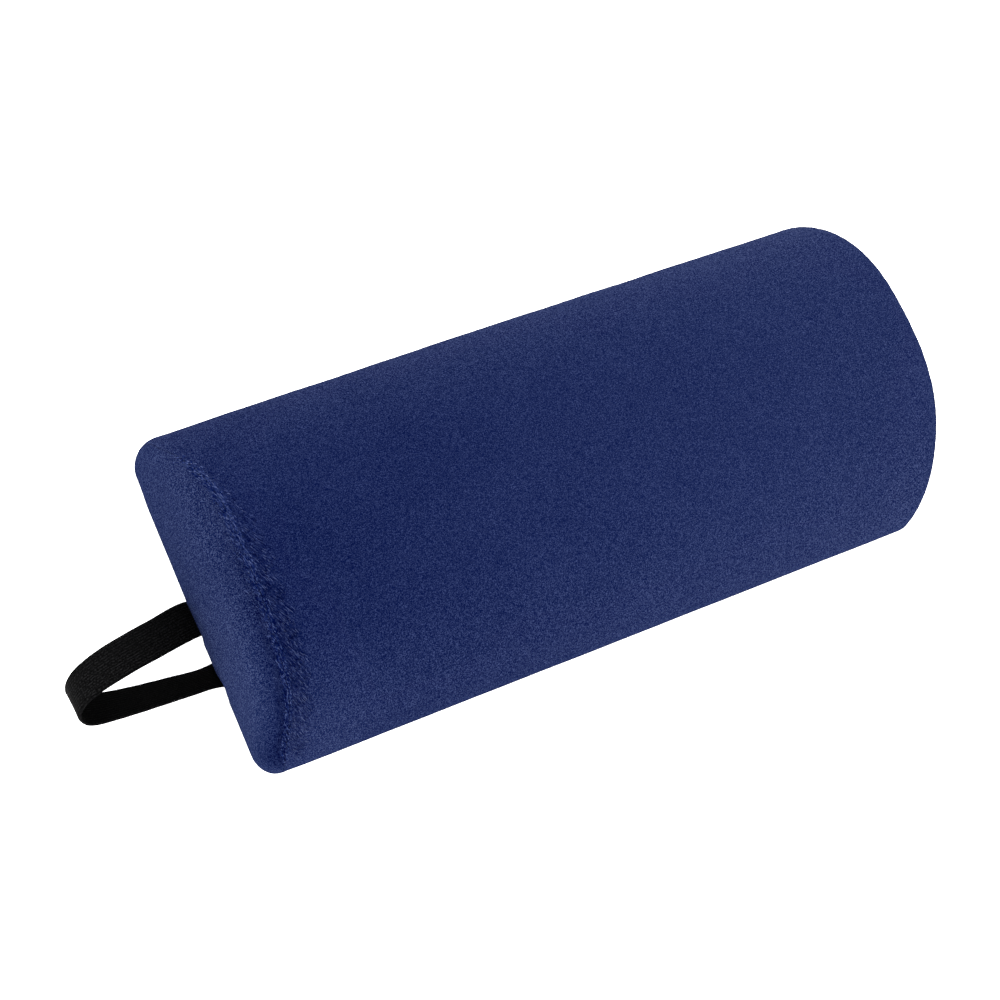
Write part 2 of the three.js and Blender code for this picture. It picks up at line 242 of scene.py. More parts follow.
class NodeBoard:
    """A material's nodes, added and joined by name."""

    def __init__(self, name: str) -> None:
        """Starts an empty material.

        Args:
            name: The material's name.
        """
        self.material = bpy.data.materials.new(name)
        self.material.use_nodes = True
        self.tree = self.material.node_tree
        self.tree.nodes.clear()
        self.shader = self.add("ShaderNodeBsdfPrincipled")
        output = self.add("ShaderNodeOutputMaterial")
        self.tree.links.new(self.shader.outputs["BSDF"], output.inputs["Surface"])

    def add(self, kind: str, inputs: Optional[dict] = None, **settings: object) -> bpy.types.Node:
        """Adds a node.

        Args:
            kind: The node's type.
            inputs: Socket values or output sockets, by socket name or number.
            **settings: The node's own settings.

        Returns:
            The new node.
        """
        node = self.tree.nodes.new(kind)
        for label, setting in settings.items():
            setattr(node, label, setting)
        for socket, value in (inputs or {}).items():
            if isinstance(value, bpy.types.NodeSocket):
                self.tree.links.new(value, node.inputs[socket])
            else:
                node.inputs[socket].default_value = value
        return node

    def number(self, name: str) -> bpy.types.NodeSocket:
        """Reads one of the piece's own named numbers."""
        return self.add("ShaderNodeAttribute", attribute_name=name).outputs["Fac"]

    def noise(self, where: bpy.types.NodeSocket, scale: float, detail: float = 2.0,
              rough: float = 0.5, distortion: float = 0.0) -> bpy.types.NodeSocket:
        """Adds a noise pattern and returns its grey output."""
        return self.add("ShaderNodeTexNoise", {"Vector": where, "Scale": scale, "Detail": detail,
                                               "Roughness": rough, "Distortion": distortion}).outputs["Fac"]

    def spread(self, value: bpy.types.NodeSocket, low: float, high: float, to_low: float,
               to_high: float) -> bpy.types.NodeSocket:
        """Maps low..high to to_low..to_high, held at both ends, and returns the result."""
        return self.add("ShaderNodeMapRange", {0: value, 1: low, 2: high, 3: to_low, 4: to_high}).outputs[0]

    def math(self, how: str, first: object, second: object) -> bpy.types.NodeSocket:
        """Adds one sum of two numbers and returns its result."""
        return self.add("ShaderNodeMath", {0: first, 1: second}, operation=how).outputs[0]

    def blend(self, share: object, first: object, second: object,
              how: str = "MIX") -> bpy.types.NodeSocket:
        """Mixes two colours by a share and returns the result."""
        return self.add("ShaderNodeMix", {0: share, 6: first, 7: second}, data_type="RGBA",
                        blend_type=how, clamp_factor=False).outputs[2]

    def lightened(self, colour: object, lighter: bpy.types.NodeSocket) -> bpy.types.NodeSocket:
        """Adds the same amount to all three parts of a colour and turns it from even steps to light.

        The result is the larger of colour + lighter and DARKEST, raised to EYE_GAMMA.

        Args:
            colour: The colour, spaced to the eye: four numbers or an output socket.
            lighter: How much is added.

        Returns:
            The linear colour.
        """
        grey = self.add("ShaderNodeCombineColor", {0: lighter, 1: lighter, 2: lighter}).outputs[0]
        total = self.blend(1.0, colour, grey, "ADD")
        held = self.blend(1.0, total, rgba((DARKEST, DARKEST, DARKEST)), "LIGHTEN")
        return self.add("ShaderNodeGamma", {"Color": held, "Gamma": EYE_GAMMA}).outputs[0]

    def fixed(self, **values: object) -> None:
        """Sets the shader's own sockets, with underscores for the spaces in their names."""
        for label, value in values.items():
            self.shader.inputs[label.replace("_", " ")].default_value = value

    def drive(self, label: str, value: bpy.types.NodeSocket) -> None:
        """Joins a pattern to one of the shader's sockets."""
        self.tree.links.new(value, self.shader.inputs[label])


def rgba(colour: Iterable[float]) -> tuple[float, float, float, float]:
    """Adds a full alpha to a linear colour."""
    red, green, blue = colour
    return (red, green, blue, 1.0)


@dataclass(frozen=True)
class Velour:
    """Short-pile navy velour: crisp curling grain, faint clumps and soft brushed patches.

    Its colours are worked out evenly spaced to the eye and then raised to EYE_GAMMA.

    Fields:
        name: The material's name.
        navy: The cloth's middle colour, spaced to the eye.
        contrast: How far the grain's lightest tips lie above its gaps, spaced to the eye.
        grain_scale: Grains per metre.
        grain_lay: How much the grain is drawn out along each axis, as a scale; less is longer.
        clump_scale: Clumps per metre.
        sheen: Weight of the sheen.
    """

    name: str
    navy: tuple[float, float, float] = (0.0938, 0.1218, 0.2320)
    contrast: float = 0.112
    grain_scale: float = 2700.0
    grain_lay: tuple[float, float, float] = (1.0, 1.0, 0.45)
    clump_scale: float = 520.0
    sheen: float = 0.012

    def material(self) -> bpy.types.Material:
        """Builds the velour.

        Grain and clumps are added into one pile height, which lifts the bump. The colour is navy
        plus contrast * nap * (pile - its mean) plus soft blotches plus painted shading. Nap is the
        piece's own number for how rough the pile lies there; lie is its own number for
        the painted shade and painted light laid on the cloth.

        Returns:
            The material.
        """
        board = NodeBoard(self.name)
        place = board.add("ShaderNodeTexCoord").outputs["Object"]
        laid = board.add("ShaderNodeMapping", {"Vector": place, "Scale": self.grain_lay}).outputs[0]
        grain = board.noise(laid, self.grain_scale, 1.0, 0.5, 1.1)
        clump = board.noise(place, self.clump_scale, 2.0, 0.55, 1.4)
        blotch = board.noise(place, 38.0, 3.0, 0.55)
        fine = board.spread(grain, 0.46, 0.6, 0.0, 0.88)
        coarse = board.spread(clump, 0.3, 0.7, 0.0, 0.12)
        pile = board.math("ADD", fine, coarse)
        # Painted shade and painted light over the cloth, read from the piece.
        lie = board.number("lie")
        nap = board.number("nap")
        tips = board.math("MULTIPLY", board.math("SUBTRACT", pile, PILE_MEAN), self.contrast)
        lighter = board.math("ADD", board.math("MULTIPLY", tips, nap), lie)
        lighter = board.math("ADD", lighter, board.spread(blotch, 0.3, 0.7, -0.004, 0.004))
        board.drive("Base Color", board.lightened(rgba(self.navy), lighter))
        bump = board.add("ShaderNodeBump", {"Height": pile, "Strength": 0.5, "Distance": 0.0004})
        board.drive("Normal", bump.outputs["Normal"])
        board.fixed(Roughness=0.9, Specular_IOR_Level=0.0, Sheen_Weight=self.sheen, Sheen_Roughness=0.4,
                    Sheen_Tint=rgba((0.35, 0.5, 1.0)))
        return board.material


@dataclass(frozen=True)
class StandingPile:
    """The pile that stands up out of the seams, and the combed pile beside it, lighter at random.

    Fields:
        name: The material's name.
        standing: The standing tufts' middle colour, spaced to the eye, lighter than the combed one as a painted
            highlight over the shade among them.
        combed: The combed tufts' middle colour, spaced to the eye.
        contrast: How much lighter a tone of 1 is than a tone of 0, spaced to the eye.
    """

    name: str
    standing: tuple[float, float, float] = (0.1210, 0.1590, 0.2990)
    combed: tuple[float, float, float] = (0.0985, 0.1285, 0.2510)
    contrast: float = 0.27

    def material(self) -> bpy.types.Material:
        """Builds the tufts' finish: their navy plus their painted shading plus contrast times their own tone.

        Returns:
            The material.
        """
        board = NodeBoard(self.name)
        flat = board.number("flat")
        # The standing tufts take a lighter navy than the combed ones: a painted highlight offsetting the shade
        # among them.
        navy = board.blend(flat, rgba(self.standing), rgba(self.combed))
        tone = board.number("tone")
        lie = board.number("lie")
        lighter = board.math("ADD", board.math("MULTIPLY", tone, self.contrast), lie)
        board.drive("Base Color", board.lightened(navy, lighter))
        board.fixed(Roughness=0.9, Specular_IOR_Level=0.0)
        return board.material


@dataclass(frozen=True)
class Elastic:
    """Black woven elastic: lengthwise ribs, cross threads over them and a faint shine.

    Fields:
        name: The material's name.
        black: Linear colour in the grooves.
        grey: Linear colour on the threads.
        threads: Cross threads per metre.
    """

    name: str
    black: tuple[float, float, float] = (0.0002, 0.0002, 0.00025)
    grey: tuple[float, float, float] = (0.0036, 0.0036, 0.0038)
    threads: float = 1100.0

    def material(self) -> bpy.types.Material:
        """Builds the elastic: rib height from the piece's own numbers, threads along its length.

        The colour goes from black to grey by rib * (a tenth of the cross threads' sine + the fuzz).

        Returns:
            The material.
        """
        board = NodeBoard(self.name)
        cloth = board.add("ShaderNodeUVMap", uv_map="cloth").outputs["UV"]
        rib = board.number("rib")
        along = board.add("ShaderNodeSeparateXYZ", {0: cloth}).outputs[1]
        wave = board.math("SINE", board.math("MULTIPLY", along, 2.0 * math.pi * self.threads), 0.0)
        laid = board.add("ShaderNodeMapping", {"Vector": cloth, "Scale": (1.0, 0.6, 1.0)}).outputs[0]
        fuzz = board.spread(board.noise(laid, 2100.0, 1.0, 0.5), 0.45, 0.6, 0.0, 1.0)
        thread = board.math("ADD", board.math("MULTIPLY", wave, 0.1), fuzz)
        shown = board.math("MULTIPLY", rib, board.spread(thread, 0.0, 1.0, 0.0, 2.5))
        board.drive("Base Color", board.blend(shown, rgba(self.black), rgba(self.grey)))
        bump = board.add("ShaderNodeBump", {"Height": thread, "Strength": 0.5, "Distance": 0.0002})
        board.drive("Normal", bump.outputs["Normal"])
        board.fixed(Roughness=0.75, Specular_IOR_Level=0.012)
        return board.material


@dataclass(frozen=True)
class PaleFloor:
    """The plain pale floor that the roll lies on, a light table that leaves no shadow."""

    name: str = "pale_floor"
    glow: float = 0.75

    def material(self) -> bpy.types.Material:
        """Builds the floor's even matt finish, with a trace of unevenness in its tone.

        Returns:
            The material.
        """
        board = NodeBoard(self.name)
        place = board.add("ShaderNodeTexCoord").outputs["Object"]
        cloud = board.noise(place, 3.0, 2.0)
        board.drive("Base Color", board.blend(board.spread(cloud, 0.3, 0.7, 0.0, 1.0),
                                              rgba((0.925, 0.925, 0.925)), rgba((0.935, 0.935, 0.935))))
        board.fixed(Roughness=0.95, Specular_IOR_Level=0.05, Emission_Color=rgba((1.0, 1.0, 1.0)),
                    Emission_Strength=self.glow)
        return board.material


# The filled roll


@dataclass(frozen=True)
class Loop:
    """One turn round the roll's section.

    Fields:
        across: The core line's place across the roll.
        up: The core line's height.
        out_across: The across part of the outward direction.
        out_up: The upward part of the outward direction.
        crown: 1 over the crown, fading to 0 at the flat back.
        arc: The way round the outer skin from the +Y base corner, over the crown first.
        round: The whole way round.
        lower: 0 on the +Y half of the crown, easing to 1 on its -Y half.
        seam: The left seam's place as a way along the side profile.
        seam_shown: 1 where the left seam shows over the crown, fading to 0 at the base corners.
    """

    across: np.ndarray
    up: np.ndarray
    out_across: np.ndarray
    out_up: np.ndarray
    crown: np.ndarray
    arc: np.ndarray
    round: float
    lower: np.ndarray
    seam: np.ndarray
    seam_shown: np.ndarray


@dataclass(frozen=True)
class Rows:
    """The rows of a skin, from one pole to the other. Every field is row by column, or row by one.

    Fields:
        profile: The way along the roll's side profile from the start of the shoulder, towards the
            roll's middle; below 0 it goes round the shoulder to the end face.
        share: How far the row is shrunk about the section's middle.
        depth: How deep the row lies under the outer skin.
        away: The way from the seam along the profile, positive on the wrap.
        side: -1 at the left end and 1 at the right end.
    """

    profile: np.ndarray
    share: np.ndarray
    depth: np.ndarray
    away: np.ndarray
    side: np.ndarray

    def backwards(self) -> "Rows":
        """Gives the same rows in the other order."""
        return Rows(*(getattr(self, part.name)[::-1] for part in fields(Rows)))

    @staticmethod
    def joined(runs: list["Rows"]) -> "Rows":
        """Puts runs of rows one after another."""
        return Rows(*(np.concatenate([getattr(run, part.name) for run in runs]) for part in fields(Rows)))


@dataclass(frozen=True)
class RollForm:
    """The roll's sizes in metres, and the smooth skin that they give.

    Fields:
        length: From end plane to end plane.
        width: Across the flat back.
        height: From the flat back to the top of the crown.
        corner: The radius of the base corners, and how far the skin lies outside the core line.
        shoulder: How far the rounded shoulders reach in from the end planes.
        power_across: How square the crown is across.
        power_up: How square the crown is upwards.
        swell: The share by which the roll's middle is fuller than its ends.
        fullness: How far the end faces bulge.
        left_fullness: How much further the +Y half of the left end stands out.
        right_fullness: How much further the right end stands out under its crown.
        low_side_extra: How much wider the -Y side is than the +Y side.
        rim_turn: How far round the shoulder the end face starts, in radians.
        face_seam: The right seam's place on the end face, as a share of its outline.
        seam_from_end: How far in from the end plane the left seam lies over the crown.
        seam_rise_high: How much nearer to the end it lies at the +Y corner.
        seam_rise_low: How much nearer to the end it lies at the -Y corner.
        crown_step: The columns' spacing over the crown.
        back_step: The columns' spacing along the flat back.
        fine_walk: The places that the section is first worked out at: over the crown, round each
            base corner and along the flat back.
    """

    length: float = 0.305
    width: float = 0.141
    height: float = 0.084
    corner: float = 0.010
    shoulder: float = 0.008
    power_across: float = 2.58
    power_up: float = 1.54
    swell: float = 0.005
    fullness: float = 0.0015
    left_fullness: float = 0.0005
    right_fullness: float = 0.00035
    low_side_extra: float = 0.0008
    rim_turn: float = math.radians(85.0)
    face_seam: float = 0.93
    seam_from_end: float = 0.0118
    seam_rise_high: float = 0.0080
    seam_rise_low: float = 0.0032
    crown_step: float = 0.00118
    back_step: float = 0.0017
    fine_walk: tuple[int, int, int] = (8001, 400, 1200)

    def loop(self) -> Loop:
        """Walks round the section at even steps of the outer skin.

        The core line of the crown is across = half width * cos(t)^(2/p), up = rise * sin(t)^(2/q)
        for t from 0 to pi; the base corners turn round the core line's two ends, and the flat back
        joins them. The seam keeps its distance from the end plane over the top of the crown and
        runs nearer to the end at the two base corners.

        Returns:
            The walk, over the crown from +Y to -Y and back along the flat back.
        """
        over_crown, round_corner, along_back = self.fine_walk
        half = self.width / 2.0 - self.corner
        rise = self.height - 2.0 * self.corner
        turn = np.linspace(0.0, math.pi, over_crown)
        c, s = np.cos(turn), np.maximum(np.sin(turn), 0.0)
        c_size, s_size = np.maximum(np.abs(c), TINY), np.maximum(s, TINY)
        across = half * np.sign(c) * np.abs(c) ** (2.0 / self.power_across)
        up = self.corner + rise * s ** (2.0 / self.power_up)
        across_rate = half * (2.0 / self.power_across) * c_size ** (2.0 / self.power_across - 1.0) * s_size
        up_rate = rise * (2.0 / self.power_up) * s_size ** (2.0 / self.power_up - 1.0) * c
        out = unit(np.stack([up_rate, across_rate], -1))
        bend = np.linspace(math.pi, 1.5 * math.pi, round_corner)
        flat = np.linspace(-half, half, along_back)
        full = np.concatenate([across, np.full(round_corner, -half), flat, np.full(round_corner, half)])
        below = along_back + 2 * round_corner
        high = np.concatenate([up, np.full(below, self.corner)])
        last_bend = bend + math.pi / 2.0
        out_across = np.concatenate([out[:, 0], np.cos(bend), np.zeros(along_back), np.cos(last_bend)])
        out_up = np.concatenate([out[:, 1], np.sin(bend), -np.ones(along_back), np.sin(last_bend)])
        crown = np.concatenate([np.sqrt(s), np.zeros(below)])
        skin = np.stack([full + out_across * self.corner, high + out_up * self.corner], -1)
        way = np.concatenate([[0.0], np.cumsum(np.linalg.norm(np.diff(skin, axis=0), axis=1))])
        crown_end = way[over_crown - 1]
        back_start, back_end = way[over_crown + round_corner - 1], way[-1 - round_corner]
        bounds = [(0.0, back_start, self.crown_step), (back_start, back_end, self.back_step),
                  (back_end, way[-1], self.crown_step)]
        arc = np.concatenate([np.linspace(a, b, round((b - a) / step), endpoint=False)
                              for a, b, step in bounds])

        def at(values: np.ndarray) -> np.ndarray:
            """Reads values off the fine walk at the even steps."""
            return np.interp(arc, way, values)

        direction = unit(np.stack([at(out_across), at(out_up)], -1))
        over = np.clip(arc, 0.0, crown_end)
        lower = smooth_step(0.080, 0.170, over)
        place = at(full)
        on_back = (arc > crown_end).astype(float)
        to_side = np.where(on_back > 0.0, smooth_step(0.012, 0.048, np.abs(place)), 1.0)
        high_side = np.where(on_back > 0.0, place > 0.0, 1.0 - smooth_step(0.045, 0.100, over))
        low_side = np.where(on_back > 0.0, place < 0.0, smooth_step(0.172, 0.210, over))
        nearer = (self.seam_rise_high * high_side + self.seam_rise_low * low_side) * to_side
        shown = smooth_step(0.060, 0.100, arc)
        shown = shown * (1.0 - smooth_step(crown_end - 0.028, crown_end - 0.010, arc))
        return Loop(place, at(high), direction[:, 0], direction[:, 1], at(crown), arc, float(way[-1]), lower,
                    self.profile_at(self.seam_from_end - nearer), shown)

    @property
    def shoulder_round(self) -> float:
        """The mean radius of the rounded shoulder."""
        return (self.shoulder + self.corner) / 2.0

    def profile_at(self, from_end: np.ndarray) -> np.ndarray:
        """Turns a distance from the end plane into the way along the profile.

        On the straight part the way is from_end - shoulder. On the shoulder it is minus its mean
        radius times the angle whose sine is 1 - from_end / shoulder.

        Args:
            from_end: Distances from the end plane.

        Returns:
            The ways along the profile.
        """
        angle = np.arcsin(np.clip(1.0 - from_end / self.shoulder, 0.0, 1.0))
        return np.where(from_end >= self.shoulder, from_end - self.shoulder, -self.shoulder_round * angle)

    def skin(self, rows: Rows, loop: Loop, dip: np.ndarray) -> np.ndarray:
        """Places a grid of points.

        With the shoulder's angle a = -profile / mean radius, a point lies depth + (shoulder -
        depth) * (1 - sin a) + profile from the end plane, and the core line plus the outward
        direction times (corner - depth) * cos a from the axis, less the dip along the skin's own
        outward direction. The end face bulges by fullness * (1 - share^2), the right end's crown
        and the +Y half of the left end stand out a little further, and the whole is swelled a
        little at the roll's middle and on its -Y side.

        Args:
            rows: The rows.
            loop: The walk round the section.
            dip: How far the skin is drawn in, row by column.

        Returns:
            Row by column by coordinate.
        """
        angle = np.clip(-rows.profile / self.shoulder_round, 0.0, math.pi / 2.0)
        from_end = (rows.depth + (self.shoulder - rows.depth) * (1.0 - np.sin(angle))
                    + np.maximum(rows.profile, 0.0) + dip * np.sin(angle))
        reach = (self.corner - rows.depth - dip) * np.cos(angle)
        from_end = from_end - self.fullness * (1.0 - rows.share**2)
        over = np.clip(loop.arc / loop.arc[loop.crown > 0.0].max(), 0.0, 1.0)
        at_end = 1.0 - smooth_step(0.0, 0.030, from_end)
        right_fuller = self.right_fullness * np.sin(math.pi * over) ** 0.8 * at_end
        core = loop.across * rows.share
        left_fuller = self.left_fullness * smooth_step(-0.045, -0.010, core)
        left_fuller = left_fuller * (1.0 - smooth_step(0.046, 0.058, core)) * at_end
        x = rows.side * (self.length / 2.0 - from_end + np.where(rows.side > 0.0, right_fuller, left_fuller))
        middle = self.height / 2.0
        swell = 1.0 + self.swell * (1.0 - (2.0 * x / self.length) ** 2)
        extra = self.low_side_extra * smooth_step(0.0, 0.010, from_end) / (self.width / 2.0 - self.corner)
        core = loop.across * (1.0 + extra * (loop.across < 0.0))
        across = (core + loop.out_across * reach) * rows.share * swell
        up = (middle + (loop.up + loop.out_up * reach - middle) * rows.share) * swell
        return np.stack(np.broadcast_arrays(x, across, up), -1)

    def rows(self, profile: np.ndarray, loop: Loop, depth: object = 0.0, share: object = 1.0,
             side: End = End.LEFT) -> Rows:
        """Makes rows from ways along the profile, row by column or one for each row.

        Args:
            profile: The ways along the profile.
            loop: The walk round the section.
            depth: How deep the rows lie, one number or one for each row.
            share: How far they are shrunk, one number or one for each row.
            side: Which end they are at.

        Returns:
            The rows.
        """
        wide = profile if profile.ndim == 2 else profile[:, None] + 0.0 * loop.arc[None, :]
        tall = np.ones((len(wide), 1))
        shares, depths = tall * np.reshape(share, (-1, 1)), tall * np.reshape(depth, (-1, 1))
        if side is End.LEFT:
            away = wide - loop.seam
        else:
            away = wide - self.rim + (shares - self.face_seam) * (self.height / 2.0)
        return Rows(wide, shares, depths, away, tall * side.value)

    @property
    def rim(self) -> float:
        """The way along the profile of the end face's rim."""
        return -self.shoulder_round * self.rim_turn

    def end_rows(self, shares: np.ndarray, loop: Loop, depth: object = 0.0, side: End = End.LEFT) -> Rows:
        """Rows of the end face, from share 0 at its middle to 1 at its rim."""
        return self.rows(np.full(len(shares), self.rim), loop, depth, shares, side)

    def between(self, shares: np.ndarray, loop: Loop, depth: float) -> Rows:
        """Rows between the left end's rim, at share 0, and its seam, at share 1."""
        return self.rows(self.rim + (loop.seam - self.rim)[None, :] * shares[:, None], loop, depth)


@dataclass(frozen=True)
class EndSeam:
    """The seam between the wrap and an end panel: a rough ridge inside a soft drawn-in valley.

    Fields:
        side: The end that it is at.
        depth: How deep the valley is, in metres as are the next seven.
        deeper_low: How much deeper it is on the -Y half.
        reach_wrap: How far it reaches over the wrap.
        reach_panel_high: How far it reaches over the panel on the +Y half.
        reach_panel_low: How far it reaches over the panel on the -Y half.
        ridge: The ridge's height.
        ridge_reach: The ridge's half width.
        pucker: The height of the slanting creases.
        beside_dark: The painted shade on the wrap beside the middle of the -Y half, in steps to the
            eye as are the rest.
        corner_light: How much lighter the wrap is beside the +Y corner.
        trough_dark: The painted shadow in the left panel's trough.
        ridge_light: The painted highlight on the ridge at the +Y corner.
        ridge_fade: How much of that it loses towards the -Y half, where it turns to painted shade.
        ridge_panel_dark: The painted shade on the ridge's panel side.
        right_dark: The painted shade along the right seam.
    """

    side: End
    depth: float = 0.0014
    deeper_low: float = 0.0006
    reach_wrap: float = 0.0056
    reach_panel_high: float = 0.0028
    reach_panel_low: float = 0.0046
    ridge: float = 0.0012
    ridge_reach: float = 0.0011
    pucker: float = 0.00018
    beside_dark: float = 6.0
    corner_light: float = 8.0
    trough_dark: float = 25.0
    ridge_light: float = 14.0
    ridge_fade: float = 25.0
    ridge_panel_dark: float = 10.0
    right_dark: float = 6.0

    def dip(self, away: np.ndarray, loop: Loop) -> np.ndarray:
        """How far the seam draws the skin in, less its ridge and its small slanting creases.

        The dip is valley depth * exp(-(away / reach)^2) less ridge * exp(-(away / ridge reach)^2).
        The left valley is deeper and wider on the -Y half. The ridge wanders and changes height
        along the seam. The creases are waves along arc + slant * away, strongest a few millimetres
        from the seam.

        Args:
            away: The way from the seam, row by column, positive on the wrap.
            loop: The walk round the section.

        Returns:
            The dip, row by column.
        """
        seed = 11 if self.side is End.LEFT else 23
        lower = loop.lower if self.side is End.LEFT else 0.0 * loop.lower
        present = self.present(loop)
        turn = 2.0 * math.pi * loop.arc / loop.round
        around = np.stack([np.cos(turn), np.sin(turn)], -1) * (loop.round / (2.0 * math.pi))
        wander = 0.0003 * soft_waves(around, shortest=0.005, longest=0.02, count=16, seed=seed)
        lumps = 1.0 + 0.3 * soft_waves(around, shortest=0.0024, longest=0.007, count=30, seed=seed + 1)
        shift = away - wander * np.exp(-((away / 0.003) ** 2))
        panel_reach = self.reach_panel_high + (self.reach_panel_low - self.reach_panel_high) * lower
        reach = np.where(shift > 0.0, self.reach_wrap * (1.0 + 0.25 * lower), panel_reach)
        valley = (self.depth + self.deeper_low * lower) * np.exp(-((shift / reach) ** 2))
        ridge = self.ridge * lumps * np.exp(-((shift / self.ridge_reach) ** 2))
        wide = np.abs(away)
        lay = np.stack(np.broadcast_arrays(loop.arc + 0.55 * wide, 0.16 * wide), -1)
        strength = np.exp(-(((wide - 0.0035) / 0.005) ** 2)) * (0.25 + 0.75 * lower) * loop.seam_shown
        creases = soft_waves(lay, shortest=0.0028, longest=0.0075, count=26, seed=seed + 30)
        creases = self.pucker * creases * strength
        return (valley - ridge) * present - creases * np.where(away > 0.0, 1.0, 0.6)

    def present(self, loop: Loop) -> np.ndarray:
        """How strongly the seam shows, from 0 to 1, round the section.

        The left seam shows over the crown, where it lies on the outer skin, and is drawn flat at
        the two base corners and along the back. The right one shows evenly on the end face.

        Args:
            loop: The walk round the section.

        Returns:
            The strength, column by column.
        """
        if self.side is End.RIGHT:
            return np.full(len(loop.arc), 0.6)
        return 0.08 + 0.92 * loop.seam_shown

    def lie(self, away: np.ndarray, loop: Loop) -> np.ndarray:
        """Painted shade along the seam's valley and a painted highlight on its ridge, in steps to the eye.

        On the wrap the painted shade is darkest beside the middle of the -Y half, and the wrap is
        lighter towards the +Y corner, where the two pieces blend. On the left panel a painted shadow
        in a wide trough along the -Y half darkens it evenly from about 14 mm out to about 4 mm. The
        ridge itself is painted lighter than both, a painted highlight, and grows darker from the +Y
        corner to the middle of the crown, past which it turns to painted shade. Along the right seam
        the pile is given a painted shade. Places over the crown are given as the way from the +Y base
        corner, in metres.

        Args:
            away: The way from the seam, row by column, positive on the wrap.
            loop: The walk round the section.

        Returns:
            The steps, row by column.
        """
        far = np.abs(away)
        if self.side is End.RIGHT:
            # Painted shade along the right seam's valley.
            return -self.right_dark * np.exp(-((far / 0.004) ** 1.5)) + 0.0 * loop.arc
        over = loop.arc
        # Painted shade beside the seam on the wrap; the wrap is lighter towards the +Y corner.
        dark = -self.beside_dark * smooth_step(0.100, 0.150, over) * (1.0 - smooth_step(0.165, 0.195, over))
        light = self.corner_light * np.exp(-far / 0.0030) * (1.0 - smooth_step(0.055, 0.085, over))
        beside = dark * np.exp(-((far / 0.0055) ** 2)) + light
        # Painted shadow in the left panel's trough, from about 14 mm out to about 4 mm.
        trough = -self.trough_dark * smooth_step(0.088, 0.165, over)
        trough = trough * np.clip((0.0142 - far) / 0.0105, 0.0, 1.0) ** 1.15
        # Painted highlight on the ridge, turning to painted shade on the -Y half and on the panel's side.
        ridge = self.ridge_light - self.ridge_fade * smooth_step(0.075, 0.165, over)
        ridge = ridge - np.where(away > 0.0, 0.0, self.ridge_panel_dark)
        share = np.exp(-((far / 0.0019) ** 2)) * loop.seam_shown
        on_crown = (loop.crown > 0.0) * smooth_step(0.0, 0.020, over) * (1.0 - smooth_step(0.212, 0.226, over))
        sides = np.where(away > 0.0, beside, trough) * on_crown
        return sides + (ridge - sides) * share


